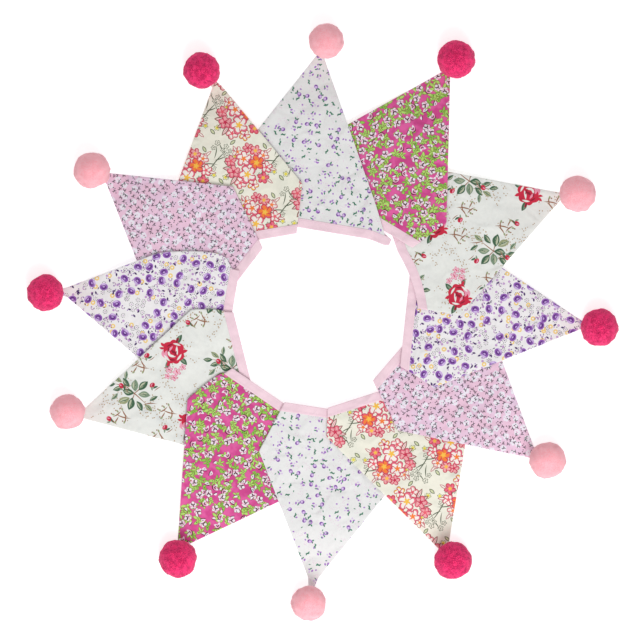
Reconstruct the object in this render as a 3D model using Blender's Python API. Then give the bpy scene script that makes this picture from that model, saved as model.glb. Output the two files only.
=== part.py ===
"""Fabric bunting of twelve pointed cotton flags on one binding tape, with a wool ball on each point.

It is laid in a ring, each flag over the next one clockwise, with its outer corner folded under.
The flags are numbered clockwise from the top one.
"""

import math
from collections import namedtuple

import bmesh
import bpy
import numpy as np

# Sizes are in millimetres up to the meshes, which are in metres.
MM = 0.001

CLOTH_THICK = 1.0
TAPE_THICK = 1.0
TAPE_WIDTH = 8.0
SEAM_GAP = 0.35

# A fold turns the middle of the cloth round this radius.
FOLD_RADIUS = 0.7
FOLD_STEPS = 4
# A bowed fold swells evenly from the flag's edge and comes in again steeply at the tape.
BOW_RETURN = 12
# A bowed or dropped stretch of base fades out this far up the flag.
BASE_SHIFT_FADE = 60.0
DROP_LENGTH = 25.0

# Each flag lies this much higher than the next one clockwise.
LIFT = 2.9
LOW_TURN = 1.6
# Past the first radius the flags come down, and at the second they lie on the surface.
DROP_FROM = 206.0
DROP_TO = 258.0
# The free part of the flags is a little crowned between two radii.
CROWN = 1.6
CROWN_FROM = 150.0
CROWN_TO = 252.0

FLAG_STEP = 22.0
OUTLINE_STEP = 22.0
TAPE_STEP = 24.0

# The tape runs on past a flag's corners, turns back and goes on to the next flag.
TAPE_LEAD = 7.0
TAPE_PAST_CORNER = 3.0
LINK_STEPS = 5
HAIRPIN_STEPS = 4
END_TURNED_UNDER = 12.0

# Shares of a ball's radius, but for the clear way that its point of cloth keeps from its axis.
CORE = 0.92
CORE_LOW = 0.955
LOCK_REACH = 1.0
LOCK_TAPER = 0.4
LOCKS = 24
LOCK_LOWEST = -0.5
BALL_CLEAR = 7.6

# The flag's point under the ball is this wide at its shoulder and at its end.
NECK_WIDE = 10.0
NECK_NARROW = 2.6

Flag = namedtuple(
    "Flag",
    "tip_x tip_y heading base height fold_at fold_lean fold_bow base_bow end_drop ball_x ball_y ball_r"
    " print wool",
)
# tip and ball: places in the ring. heading: degrees from +X to the point. base, height: the cut size.
# fold_at: where the fold crosses the base, clockwise from its middle. fold_lean: degrees off square.
# fold_bow, base_bow: the bulge of the fold and of the base before it. end_drop: the droop of its end.
FLAGS = (
    Flag(-1.3, 272.8, 80.5, 188, 171, 100.0, 0.0, 0, 0, 4, 3.6, 280.3, 17.4, "sprig", "pale"),
    Flag(127.9, 254.9, 58.8, 189, 166, 63.7, 22.7, 0, 0, 0, 133.0, 262.3, 19.0, "magenta", "hot"),
    Flag(243.7, 128.4, 19.1, 193, 170, 63.6, 28.0, 0, 3.5, 0, 254.3, 128.1, 18.1, "rose", "pale"),
    Flag(267.0, -3.7, -6.0, 184, 176, 63.3, 26.0, 0, 0, 0, 275.8, -5.3, 18.6, "violet", "hot"),
    Flag(215.8, -137.5, -40.8, 187, 169, 51.2, 22.5, 0, 0, 0, 224.3, -137.6, 18.0, "daisy", "pale"),
    Flag(124.0, -234.5, -72.2, 175, 170, 70.3, 20.0, 0, 0, 0, 129.8, -237.6, 18.8, "blossom", "hot"),
    Flag(-10.9, -264.4, -98.8, 196, 170, 57.4, 19.0, 0, 0, 0, -14.0, -280.2, 17.5, "sprig", "pale"),
    Flag(-145.5, -227.6, -124.3, 202, 173, 59.5, 21.0, 3, 0, 0, -144.3, -235.8, 18.8, "magenta", "hot"),
    Flag(-246.7, -94.5, -165.9, 186, 170, 65.1, 18.0, 2, 0, 0, -254.3, -89.4, 17.4, "rose", "pale"),
    Flag(-263.4, 31.8, 170.1, 196, 166, 50.4, 2.0, 13.5, 0, 0, -276.2, 29.4, 18.2, "violet", "hot"),
    Flag(-220.9, 150.0, 142.7, 199, 166, 40.9, 27.0, 0, 0, 0, -230.0, 151.4, 18.1, "daisy", "pale"),
    Flag(-106.8, 243.6, 99.7, 181, 158, 55.5, 16.5, 0, 0, 0, -120.6, 251.0, 18.1, "blossom", "hot"),
)
RING = len(FLAGS)

COLOURS = {
    "sprig": (0.78, 0.79, 0.83),
    "magenta": (0.60, 0.06, 0.26),
    "rose": (0.76, 0.77, 0.73),
    "violet": (0.76, 0.74, 0.80),
    "daisy": (0.75, 0.51, 0.68),
    "blossom": (0.83, 0.81, 0.68),
    "pale": (0.95, 0.43, 0.49),
    "hot": (0.69, 0.03, 0.13),
    "tape": (0.87, 0.66, 0.76),
}
CLOTH_ROUGHNESS = 0.85
WOOL_ROUGHNESS = 1.0


def smooth(low, high, value):
    """0 below low, 1 above high, and an even curve between them."""
    share = min(max((value - low) / (high - low), 0.0), 1.0)
    return share * share * (3.0 - 2.0 * share)


def flag_frame(flag):
    """The middle of the flag's base, the direction clockwise along it, and the direction to its point."""
    heading = math.radians(flag.heading)
    out = np.array([math.cos(heading), math.sin(heading)])
    along = np.array([out[1], -out[0]])
    return np.array([flag.tip_x, flag.tip_y]) - flag.height * out, along, out


def clockwise_turn(x, y):
    """How far round the ring a place is, as a flag number that grows evenly from ball to ball."""
    turns = [-math.degrees(math.atan2(flag.ball_y, flag.ball_x)) for flag in FLAGS]
    for i in range(1, RING):
        while turns[i] < turns[i - 1]:
            turns[i] += 360.0
    turns.append(turns[0] + 360.0)
    here = turns[0] + (-math.degrees(math.atan2(y, x)) - turns[0]) % 360.0
    return float(np.interp(here, turns, range(RING + 1)))


def cloth_height(index, x, y):
    """The height of the middle of a flag's cloth over the surface, before its corner turns under."""
    turn = (clockwise_turn(x, y) - index + RING / 2) % RING - RING / 2
    radius = math.hypot(x, y)
    rise = LIFT * max(turn + LOW_TURN, 0.0) * (1.0 - smooth(DROP_FROM, DROP_TO, radius))
    share = min(max((radius - CROWN_FROM) / (CROWN_TO - CROWN_FROM), 0.0), 1.0)
    return CLOTH_THICK / 2 + rise + CROWN * math.sin(math.pi * share) ** 2


def fold_axes(flag):
    """A point of the fold line, its direction outward, and the direction across to the part folded away."""
    lean = math.radians(flag.fold_lean)
    line = np.array([math.sin(lean), math.cos(lean)])
    return np.array([flag.fold_at, 0.0]), line, np.array([line[1], -line[0]])


def fold_bow(flag, along_line):
    """How far the fold bulges past its straight line, at a distance along that line from the base."""
    half = flag.base / 2
    lean = math.radians(flag.fold_lean)
    length = (half - flag.fold_at) / (math.sin(lean) + half / flag.height * math.cos(lean))
    share = 1.0 - along_line / length if length > 0 else 0.0
    if flag.fold_bow == 0 or not 0.0 < share < 1.0:
        return 0.0
    return flag.fold_bow * (1.0 - (1.0 - share) ** 2) * (1.0 - share**BOW_RETURN)


def base_shift(flag, s, t):
    """How far the laid cloth is drawn outward near its base, where the tape isn't straight."""
    bow = flag.base_bow * math.sin(math.pi * min(max(s / flag.fold_at, 0.0), 1.0))
    drop = flag.end_drop * smooth(flag.fold_at - DROP_LENGTH, flag.fold_at, s)
    return (bow - drop) * (1.0 - smooth(0.0, BASE_SHIFT_FADE, t))


def lay(index, s, t):
    """Where a point of the flat flag lies: s clockwise along its base, t from the base to its point."""
    flag = FLAGS[index]
    start, line, across = fold_axes(flag)
    offset = np.array([s, t]) - start
    along_line = offset @ line
    straight_until = fold_bow(flag, along_line) - FOLD_RADIUS
    past = offset @ across - straight_until
    sunk = 0.0
    if past > math.pi * FOLD_RADIUS:
        past = math.pi * FOLD_RADIUS - past
        sunk = 2 * FOLD_RADIUS
    elif past > 0:
        angle = past / FOLD_RADIUS
        past = FOLD_RADIUS * math.sin(angle)
        sunk = FOLD_RADIUS * (1.0 - math.cos(angle))
    s, t = start + along_line * line + (straight_until + past) * across
    middle, along, out = flag_frame(flag)
    x, y = middle + s * along + (t + base_shift(flag, s, t)) * out
    return np.array([x, y, cloth_height(index, x, y) - sunk])


def normal_at(index, s, t):
    """The direction square to the laid cloth, up from its right side."""
    reach = 0.05
    ds = lay(index, s + reach, t) - lay(index, s - reach, t)
    dt = lay(index, s, t + reach) - lay(index, s, t - reach)
    square = np.cross(ds, dt)
    return square / np.linalg.norm(square)


def flag_corners(flag):
    """The flat outline's corners in (s, t), with a narrow neck that runs under the ball to near its axis."""
    middle, along, out = flag_frame(flag)
    half = flag.base / 2
    shoulder = np.array([0.0, flag.height * (1.0 - NECK_WIDE / flag.base)])
    ball = np.array([flag.ball_x, flag.ball_y]) - middle
    ball = np.array([ball @ along, ball @ out])
    back = (shoulder - ball) / np.linalg.norm(shoulder - ball)
    end = ball + BALL_CLEAR * back
    side = np.array([-back[1], back[0]]) * NECK_NARROW / 2
    wide = np.array([NECK_WIDE / 2, 0.0])
    return [(-half, 0.0), (half, 0.0), shoulder + wide, end + side, end - side, shoulder - wide]


def flag_outline(flag):
    """The flat outline in (s, t), anticlockwise, with points along its long sides."""
    corners = flag_corners(flag)
    points = []
    for (s0, t0), (s1, t1) in zip(corners, corners[1:] + corners[:1]):
        pieces = max(round(math.hypot(s1 - s0, t1 - t0) / OUTLINE_STEP), 1)
        for i in range(pieces):
            points.append((s0 + (s1 - s0) * i / pieces, t0 + (t1 - t0) * i / pieces))
    return points


def flag_cuts(flat):
    """The places, across and along the fold line, where the flat flag is divided."""
    bend = [math.pi * FOLD_RADIUS * i / FOLD_STEPS - FOLD_RADIUS for i in range(FOLD_STEPS + 1)]
    low, high = flat[:, 0].min(), flat[:, 0].max()
    across = [bend[0] - FLAG_STEP * i for i in range(1, int((bend[0] - low) / FLAG_STEP) + 1)]
    if high > bend[-1]:
        past = int((high - bend[-1]) / FLAG_STEP) + 1
        across += bend + [bend[-1] + FLAG_STEP * i for i in range(1, past)]
    low, high = flat[:, 1].min(), flat[:, 1].max()
    return across, np.arange(low + FLAG_STEP / 2, high, FLAG_STEP)


def flag_grid(index):
    """The flat flag as a triangle mesh in (s, t), divided along its fold."""
    flag = FLAGS[index]
    start, line, across = fold_axes(flag)
    flat = []
    for point in flag_outline(flag):
        offset = np.array(point) - start
        flat.append((offset @ across - fold_bow(flag, offset @ line), offset @ line))
    flat = np.array(flat)
    grid = bmesh.new()
    face = grid.faces.new([grid.verts.new((u, v, 0.0)) for u, v in flat])
    face.normal_update()
    if face.normal.z < 0:
        face.normal_flip()
    cuts_across, cuts_along = flag_cuts(flat)
    for place in cuts_across:
        bmesh.ops.bisect_plane(
            grid, geom=grid.verts[:] + grid.edges[:] + grid.faces[:],
            dist=1e-4, plane_co=(place, 0, 0), plane_no=(1, 0, 0),
        )
    for place in cuts_along:
        bmesh.ops.bisect_plane(
            grid, geom=grid.verts[:] + grid.edges[:] + grid.faces[:],
            dist=1e-4, plane_co=(0, place, 0), plane_no=(0, 1, 0),
        )
    bmesh.ops.triangulate(grid, faces=grid.faces[:])
    for vert in grid.verts:
        u, v = vert.co.x, vert.co.y
        s, t = start + v * line + (u + fold_bow(flag, v)) * across
        vert.co = (s, t, 0.0)
    return grid


def add_object(name, mesh, colour, roughness):
    """A mesh object with a material of its own."""
    material = bpy.data.materials.new(name)
    material.use_nodes = True
    shader = material.node_tree.nodes["Principled BSDF"]
    shader.inputs["Base Color"].default_value = (*colour, 1.0)
    shader.inputs["Roughness"].default_value = roughness
    shader.inputs["Metallic"].default_value = 0.0
    mesh.materials.append(material)
    obj = bpy.data.objects.new(name, mesh)
    bpy.context.scene.collection.objects.link(obj)
    return obj


def mesh_from(body, name):
    """The bmesh as a mesh in metres."""
    bmesh.ops.scale(body, vec=(MM, MM, MM), verts=body.verts[:])
    mesh = bpy.data.meshes.new(name)
    body.to_mesh(mesh)
    body.free()
    return mesh


def make_flag(index):
    """One flag: a sheet of even thickness, its outer corner turned under."""
    grid = flag_grid(index)
    grid.verts.index_update()
    sheet = bmesh.new()
    sides = []
    for side in (CLOTH_THICK / 2, -CLOTH_THICK / 2):
        verts = []
        for vert in grid.verts:
            s, t = vert.co.x, vert.co.y
            verts.append(sheet.verts.new(lay(index, s, t) + side * normal_at(index, s, t)))
        sides.append(verts)
    top, bottom = sides
    for face in grid.faces:
        corners = [vert.index for vert in face.verts]
        sheet.faces.new([top[i] for i in corners])
        sheet.faces.new([bottom[i] for i in reversed(corners)])
    for edge in grid.edges:
        if edge.is_boundary:
            loop = edge.link_loops[0]
            a, b = loop.vert.index, loop.link_loop_next.vert.index
            sheet.faces.new([top[b], top[a], bottom[a], bottom[b]])
    grid.free()
    name = f"flag_{index + 1:02d}"
    add_object(name, mesh_from(sheet, name), COLOURS[FLAGS[index].print], CLOTH_ROUGHNESS)


def tape_station(index, s, slant):
    """A line across the tape: its outer and inner ends and the direction square to it at each."""
    ends = []
    for t in (-SEAM_GAP, -SEAM_GAP - TAPE_WIDTH):
        place = s + slant * t
        ends.append((lay(index, place, t), normal_at(index, place, t)))
    return ends


def tape_on_flag(index, first):
    """The tape's stations along one flag's base, round its fold, to just past the folded corner."""
    flag = FLAGS[index]
    half = flag.base / 2
    lean = math.radians(flag.fold_lean)
    last = half + TAPE_PAST_CORNER if index else flag.fold_at + END_TURNED_UNDER
    bend = [
        flag.fold_at + (math.pi * FOLD_RADIUS * i / FOLD_STEPS - FOLD_RADIUS) / math.cos(lean)
        for i in range(FOLD_STEPS + 1)
    ]
    before = np.linspace(first, bend[0], round((bend[0] - first) / TAPE_STEP) + 1)[:-1]
    after = np.linspace(bend[-1], last, 3)[1:]
    stations = []
    for s in [*before, *bend, *after]:
        slant = math.tan(lean) * smooth(bend[0] - 1.5 * TAPE_STEP, bend[0], s)
        stations.append(tape_station(index, s, slant * (1.0 - smooth(bend[-1], last, s))))
    return stations


def tape_link(index, following, start):
    """The hidden tape from one flag's folded corner to its hairpin before the next flag."""
    middle, along, out = flag_frame(FLAGS[following])
    turn_s = -FLAGS[following].base / 2 - TAPE_LEAD
    centre = -SEAM_GAP - TAPE_WIDTH / 2
    end_xy = middle + turn_s * along + centre * out
    (outer, _), (inner, _) = start
    begin_xy = (outer + inner)[:2] / 2
    side = (outer - inner)[:2] / np.linalg.norm((outer - inner)[:2])
    heading = np.array([-side[1], side[0]])
    span = np.linalg.norm(end_xy - begin_xy)
    stations = []
    for i in range(1, LINK_STEPS + 1):
        q = i / LINK_STEPS
        place = (
            (2 * q**3 - 3 * q**2 + 1) * begin_xy
            + (q**3 - 2 * q**2 + q) * span * heading
            + (3 * q**2 - 2 * q**3) * end_xy
            - (q**3 - q**2) * span * along
        )
        slope = (
            (6 * q**2 - 6 * q) * (begin_xy - end_xy)
            + (3 * q**2 - 4 * q + 1) * span * heading
            - (3 * q**2 - 2 * q) * span * along
        )
        slope = slope / np.linalg.norm(slope)
        across = np.array([slope[1], -slope[0]]) * TAPE_WIDTH / 2
        station = []
        for x, y in (place + across, place - across):
            height = cloth_height(index, x, y) - 2 * FOLD_RADIUS
            station.append((np.array([x, y, height]), np.array([0.0, 0.0, -1.0])))
        stations.append(station)
    for i in range(1, HAIRPIN_STEPS):
        angle = math.pi * (0.5 - i / HAIRPIN_STEPS)
        station = []
        for t in (-SEAM_GAP, -SEAM_GAP - TAPE_WIDTH):
            x, y = middle + turn_s * along + t * out
            high = cloth_height(index, x, y) - 2 * FOLD_RADIUS
            low = cloth_height(following, x, y)
            radius = (high - low) / 2
            x, y = np.array([x, y]) - radius * math.cos(angle) * along
            level = (high + low) / 2 + radius * math.sin(angle)
            square = np.array([*(along * math.cos(angle)), -math.sin(angle)])
            station.append((np.array([x, y, level]), square))
        stations.append(station)
    return stations


def make_tape():
    """The one binding tape, from the second flag round to the first, laid over and under itself."""
    order = [*range(1, RING), 0]
    stations = []
    for index, following in zip(order, order[1:] + [None]):
        stations += tape_on_flag(index, -FLAGS[index].base / 2 - TAPE_LEAD)
        if following is not None:
            stations += tape_link(index, following, stations[-1])
    body = bmesh.new()
    rings = []
    for (outer, outer_up), (inner, inner_up) in stations:
        half = TAPE_THICK / 2
        top = (outer + half * outer_up, inner + half * inner_up)
        bottom = (inner - half * inner_up, outer - half * outer_up)
        rings.append([body.verts.new(corner) for corner in top + bottom])
    for one, two in zip(rings, rings[1:]):
        for i in range(4):
            j = (i + 1) % 4
            body.faces.new([one[i], one[j], two[j], two[i]])
    body.faces.new(rings[0])
    body.faces.new(list(reversed(rings[-1])))
    bmesh.ops.recalc_face_normals(body, faces=body.faces[:])
    add_object("binding", mesh_from(body, "binding"), COLOURS["tape"], CLOTH_ROUGHNESS)


def lock_directions():
    """Even directions over the ball, leaving out its underside."""
    golden = math.pi * (3.0 - math.sqrt(5.0))
    for i in range(LOCKS):
        z = 1.0 - (i + 0.5) / LOCKS * (1.0 - LOCK_LOWEST)
        flat = math.sqrt(1.0 - z * z)
        yield np.array([flat * math.cos(golden * i), flat * math.sin(golden * i), z])


def make_ball(index):
    """One ball of cut wool: a faceted core on a small flat spot, with three-sided locks."""
    flag = FLAGS[index]
    core = CORE * flag.ball_r
    body = bmesh.new()
    bmesh.ops.create_icosphere(body, subdivisions=2, radius=core)
    taken = []
    for direction in lock_directions():
        free = [face for face in body.faces if face not in taken]
        taken.append(max(free, key=lambda face: face.calc_center_median().normalized().dot(direction)))
    for face in bmesh.ops.extrude_discrete_faces(body, faces=taken)["faces"]:
        middle = face.calc_center_median()
        tip = middle.normalized() * LOCK_REACH * flag.ball_r
        for vert in face.verts:
            vert.co = tip + (vert.co - middle) * LOCK_TAPER
    floor = -CORE_LOW * core
    cut = bmesh.ops.bisect_plane(
        body, geom=body.verts[:] + body.edges[:] + body.faces[:],
        plane_co=(0, 0, floor), plane_no=(0, 0, 1), clear_inner=True,
    )
    rim = [edge for edge in cut["geom_cut"] if isinstance(edge, bmesh.types.BMEdge)]
    bmesh.ops.contextual_create(body, geom=rim)
    bmesh.ops.recalc_face_normals(body, faces=body.faces[:])
    bmesh.ops.translate(body, vec=(flag.ball_x, flag.ball_y, -floor), verts=body.verts[:])
    name = f"pompom_{index + 1:02d}"
    add_object(name, mesh_from(body, name), COLOURS[flag.wool], WOOL_ROUGHNESS)


def main():
    for obj in list(bpy.data.objects):
        bpy.data.objects.remove(obj)
    for index in range(RING):
        make_flag(index)
        make_ball(index)
    make_tape()


main()
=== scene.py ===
"""The looks of a bunting of twelve printed cotton flags on one folded tape, with a wool ball on each point.

It lies in a ring, each flag over the next one clockwise, numbered clockwise from the top one.
"""

import math
from collections import namedtuple

import bmesh
import bpy
import numpy as np
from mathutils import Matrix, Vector, noise


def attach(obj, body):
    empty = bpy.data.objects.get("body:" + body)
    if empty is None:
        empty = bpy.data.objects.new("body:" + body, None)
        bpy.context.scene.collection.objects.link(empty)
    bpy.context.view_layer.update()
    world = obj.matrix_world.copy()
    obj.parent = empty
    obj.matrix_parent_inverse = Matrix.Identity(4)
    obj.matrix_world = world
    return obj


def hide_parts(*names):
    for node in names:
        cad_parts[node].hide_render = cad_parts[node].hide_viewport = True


bl_info = {
    "name": "Flag bunting",
    "version": (1, 0, 0),
    "blender": (4, 5, 0),
    "location": "View3D > Sidebar > Bunting",
    "description": "Dresses a laid ring of printed cotton flags with its tape, stitches and wool balls",
    "category": "Object",
}

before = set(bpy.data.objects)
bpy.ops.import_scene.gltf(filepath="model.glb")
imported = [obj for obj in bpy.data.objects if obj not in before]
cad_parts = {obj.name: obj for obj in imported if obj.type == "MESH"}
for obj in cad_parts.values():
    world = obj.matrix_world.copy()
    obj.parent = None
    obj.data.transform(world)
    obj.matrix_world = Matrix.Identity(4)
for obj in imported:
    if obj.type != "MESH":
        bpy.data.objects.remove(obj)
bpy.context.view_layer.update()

# Sizes are in millimetres up to the meshes, which are in metres.
MM = 0.001

# The fold and the heights of the laid cloth.
FOLD_RADIUS = 0.7
FOLD_STEPS = 8
BOW_RETURN = 12
BASE_SHIFT_FADE = 60.0
DROP_LENGTH = 25.0
LIFT = 2.9
LOW_TURN = 1.6
DROP_FROM = 206.0
DROP_TO = 258.0
CROWN = 1.6
CROWN_FROM = 150.0
CROWN_TO = 252.0
LEVEL = 0.5
FLOOR_GAP = 0.05

# The cloth's grid, its hem inside the tape, and the pressed seam along the long sides.
FLAG_STEP = 2.6
OUTLINE_STEP = 6.0
HEM_IN_TAPE = 3.0
SEAM_LINES = (0.35, 0.9, 4.8, 6.6)
SEAM_RAISE = 0.12
PUCKER = 0.10
PUCKER_PITCH = 8.5
TAPE_PUCKER_PITCH = 9.7

# The tape. t counts from a flag's base to its point, so the tape reaches to t below 0, and its sections
# turn from square to the fold's slant over SLANT_LENGTH.
TAPE_GAP = 0.34
TAPE_MIDDLE = -4.35
TAPE_REACH = 8.35
TAPE_LEAD = 7.0
TAPE_PAST_CORNER = 3.0
TAPE_STEP = 3.0
LINK_STEPS = 24
HAIRPIN_STEPS = 8
END_TURNED_UNDER = 12.0
SLANT_LENGTH = 36.0
END_ROUND = 4.5
END_TUCK = 0.32
STITCH_LINE = -1.0
STITCH_RAISE = 0.02

# The flag's point under the ball is this wide at its shoulder and at its end.
NECK_WIDE = 10.0
NECK_NARROW = 2.6
BALL_CLEAR = 7.6
BALL_CENTRE = 0.955 * 0.92

# How much the strands' shading follows the ball and not each strand.
OUTWARD_SHARE = 0.8

# The lamp off the near side of the ring, the middle of the view on the floor, and the camera, in metres.
LAMP_PLACE = (0.28, -1.25, 1.45)
VIEW_CENTRE = (-0.0026, 0.0022)
VIEW_HEIGHT = 5.0
FLOOR_REACH = 5.0
FLOOR_LEVEL = -0.0001

Flag = namedtuple(
    "Flag",
    "tip_x tip_y heading base height fold_at fold_lean fold_bow base_bow end_drop ball_x ball_y ball_r"
    " print wool cut_x cut_y",
)
# tip and ball: places in the ring. heading: degrees from +X to the point. base, height: the cut size.
# fold_at: where the fold crosses the base, clockwise from its middle. fold_lean: degrees off square.
# fold_bow, base_bow: the bulge of the fold and of the base before it. end_drop: the droop of its end.
# cut_x, cut_y: where the middle of its base lies on the printed cloth.
FLAGS = (
    Flag(-1.3, 272.8, 80.5, 188, 171, 100.0, 13.0, 0, 0, 4, 3.6, 280.3, 17.4, "sprig", "pale", 0, 0),
    Flag(127.9, 254.9, 58.8, 189, 166, 63.7, 22.7, 0, 0, 0, 133.0, 262.3, 19.0, "magenta", "hot", 137, 89),
    Flag(243.7, 128.4, 19.1, 193, 170, 63.6, 28.0, 0, 3.5, 0, 254.3, 128.1, 18.1, "rose", "pale", -61, -35),
    Flag(267.0, -3.7, -6.0, 184, 176, 63.3, 26.0, 0, 0, 0, 275.8, -5.3, 18.6, "violet", "hot", 411, 267),
    Flag(215.8, -137.5, -40.8, 187, 169, 51.2, 22.5, 0, 0, 0, 224.3, -137.6, 18.0, "daisy", "pale", 548, 356),
    Flag(124.0, -234.5, -72.2, 175, 170, 70.3, 20.0, 0, 0, 0, 129.8, -237.6, 18.8, "blossom", "hot", -22,
         -62),
    Flag(-10.9, -264.4, -98.8, 196, 170, 57.4, 19.0, 0, 0, 0, -14.0, -280.2, 17.5, "sprig", "pale", 822, 534),
    Flag(-145.5, -227.6, -124.3, 202, 173, 59.5, 21.0, 3, 0, 0, -144.3, -235.8, 18.8, "magenta", "hot", 959,
         623),
    Flag(-246.7, -94.5, -165.9, 186, 170, 65.1, 18.0, 2, 0, 0, -254.3, -89.4, 17.4, "rose", "pale", -39, -60),
    Flag(-263.4, 31.8, 170.1, 196, 166, 50.4, 2.0, 13.5, 0, 0, -276.2, 29.4, 18.2, "violet", "hot", 1233,
         801),
    Flag(-220.9, 150.0, 142.7, 199, 166, 40.9, 27.0, 0, 0, 0, -230.0, 151.4, 18.1, "daisy", "pale", 1370,
         890),
    Flag(-106.8, 243.6, 99.7, 181, 158, 55.5, 16.5, 0, 0, 0, -120.6, 251.0, 18.1, "blossom", "hot", -16, -65),
)
RING = len(FLAGS)

CREASE_STRENGTH = 1.6

Crease = namedtuple("Crease", "flag s t turn length width height")
# A soft ridge, or a trough where its height is negative: its middle on the flat flag and its direction.
CREASES = [Crease(*row) for row in (
    (0, 20, 118, 75, 60, 5.0, 0.45), (0, -28, 86, 110, 55, 6.0, -0.40),
    (1, 12, 96, 64, 70, 6.0, 0.45), (1, -20, 120, 100, 40, 4.0, -0.35),
    (2, 8, 100, 82, 80, 7.0, 0.50), (2, 30, 78, 58, 50, 5.0, -0.45),
    (3, -6, 105, 96, 60, 6.0, 0.40), (3, 26, 84, 66, 44, 5.0, -0.40),
    (4, 10, 98, 74, 66, 6.0, 0.45), (4, -22, 84, 116, 40, 5.0, -0.35),
    (5, 14, 92, 70, 70, 7.0, 0.50), (5, -12, 118, 98, 46, 5.0, -0.40),
    (6, 6, 104, 86, 70, 6.0, 0.40), (6, 30, 70, 60, 44, 5.0, -0.40),
    (7, -4, 96, 94, 66, 7.0, 0.45), (7, 24, 100, 66, 40, 4.0, -0.35),
    (8, 10, 92, 78, 74, 7.0, 0.50), (8, -24, 78, 112, 44, 5.0, -0.40),
    (9, 4, 98, 88, 66, 6.0, 0.45), (9, 32, 64, 70, 50, 6.0, -0.50),
    (10, 8, 94, 80, 70, 6.0, 0.45), (10, -18, 110, 104, 40, 4.0, -0.35),
    (11, -8, 76, 12, 60, 3.0, 0.45), (11, 16, 104, 74, 50, 5.0, -0.40),
)]

# Shallow waves that run through all the layers alike: direction, length, height and start.
WAVES = ((25, 83, 0.30, 0.4), (100, 61, 0.24, 1.9), (160, 47, 0.18, 3.1), (62, 118, 0.35, 5.0))


def smooth(low, high, value):
    """0 below low, 1 above high, and an even curve between them."""
    share = np.clip((value - low) / (high - low), 0.0, 1.0)
    return share * share * (3.0 - 2.0 * share)


def flag_frame(flag):
    """The middle of the flag's base, the direction clockwise along it, and the direction to its point."""
    heading = math.radians(flag.heading)
    out = np.array([math.cos(heading), math.sin(heading)])
    along = np.array([out[1], -out[0]])
    return np.array([flag.tip_x, flag.tip_y]) - flag.height * out, along, out


def ball_turns():
    """The clockwise angles of the balls round the ring, in degrees, growing from the first."""
    turns = [-math.degrees(math.atan2(flag.ball_y, flag.ball_x)) for flag in FLAGS]
    for i in range(1, RING):
        while turns[i] < turns[i - 1]:
            turns[i] += 360.0
    return turns + [turns[0] + 360.0]


TURNS = ball_turns()


def clockwise_turn(x, y):
    """How far round the ring a place is, as a flag number that grows evenly from ball to ball."""
    here = TURNS[0] + (-np.degrees(np.arctan2(y, x)) - TURNS[0]) % 360.0
    return np.interp(here, TURNS, range(RING + 1))


def wave_height(x, y):
    """The shallow waves that all the layers share, dying out where the cloth meets the surface."""
    height = 0.0
    for turn, length, size, start in WAVES:
        turn = math.radians(turn)
        along = x * math.cos(turn) + y * math.sin(turn)
        height = height + size * (1.0 + np.sin(2 * math.pi * along / length + start)) / 2
    return height * (1.0 - smooth(DROP_FROM, DROP_TO, np.hypot(x, y)))


def cloth_height(index, x, y):
    """The height of the middle of a flag's cloth over the surface, before its corner turns under."""
    turn = (clockwise_turn(x, y) - index + RING / 2) % RING - RING / 2
    radius = np.hypot(x, y)
    rise = LIFT * np.maximum(turn + LOW_TURN, 0.0) * (1.0 - smooth(DROP_FROM, DROP_TO, radius))
    share = np.clip((radius - CROWN_FROM) / (CROWN_TO - CROWN_FROM), 0.0, 1.0)
    return LEVEL + rise + CROWN * np.sin(math.pi * share) ** 2 + wave_height(x, y)


def fold_axes(flag):
    """A point of the fold line, its direction outward, and the direction across to the part folded away."""
    lean = math.radians(flag.fold_lean)
    line = np.array([math.sin(lean), math.cos(lean)])
    return np.array([flag.fold_at, 0.0]), line, np.array([line[1], -line[0]])


def fold_bow(flag, along_line):
    """How far the fold bulges past its straight line, at a distance along that line from the base."""
    half = flag.base / 2
    lean = math.radians(flag.fold_lean)
    length = (half - flag.fold_at) / (math.sin(lean) + half / flag.height * math.cos(lean))
    if flag.fold_bow == 0 or length <= 0:
        return 0.0 * along_line
    share = np.clip(1.0 - along_line / length, 0.0, 1.0)
    return flag.fold_bow * (1.0 - (1.0 - share) ** 2) * (1.0 - share**BOW_RETURN)


def base_shift(flag, s, t):
    """How far the laid cloth is drawn outward near its base, where the tape isn't straight."""
    bow = flag.base_bow * np.sin(math.pi * np.clip(s / flag.fold_at, 0.0, 1.0))
    drop = flag.end_drop * smooth(flag.fold_at - DROP_LENGTH, flag.fold_at, s)
    return (bow - drop) * (1.0 - smooth(0.0, BASE_SHIFT_FADE, t))


def lay(index, s, t):
    """Where points of the flat flag lie: s clockwise along its base, t from the base to its point."""
    flag = FLAGS[index]
    start, line, across = fold_axes(flag)
    s, t = np.broadcast_arrays(np.asarray(s, float) - start[0], np.asarray(t, float) - start[1])
    along_line = s * line[0] + t * line[1]
    straight_until = fold_bow(flag, along_line) - FOLD_RADIUS
    past = s * across[0] + t * across[1] - straight_until
    angle = np.clip(past / FOLD_RADIUS, 0.0, math.pi)
    reach = straight_until + FOLD_RADIUS * np.sin(angle) - np.abs(past - FOLD_RADIUS * angle)
    sunk = FOLD_RADIUS * (1.0 - np.cos(angle))
    s = start[0] + along_line * line[0] + reach * across[0]
    t = start[1] + along_line * line[1] + reach * across[1]
    middle, along, out = flag_frame(flag)
    t = t + base_shift(flag, s, t)
    x = middle[0] + s * along[0] + t * out[0]
    y = middle[1] + s * along[1] + t * out[1]
    return np.stack([x, y, cloth_height(index, x, y) - sunk], axis=-1)


def normal_at(index, s, t):
    """The direction square to the laid cloth, up from its right side."""
    reach = 0.05
    ds = lay(index, s + reach, t) - lay(index, s - reach, t)
    dt = lay(index, s, t + reach) - lay(index, s, t - reach)
    square = np.cross(ds, dt)
    return square / np.linalg.norm(square, axis=-1, keepdims=True)


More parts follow.
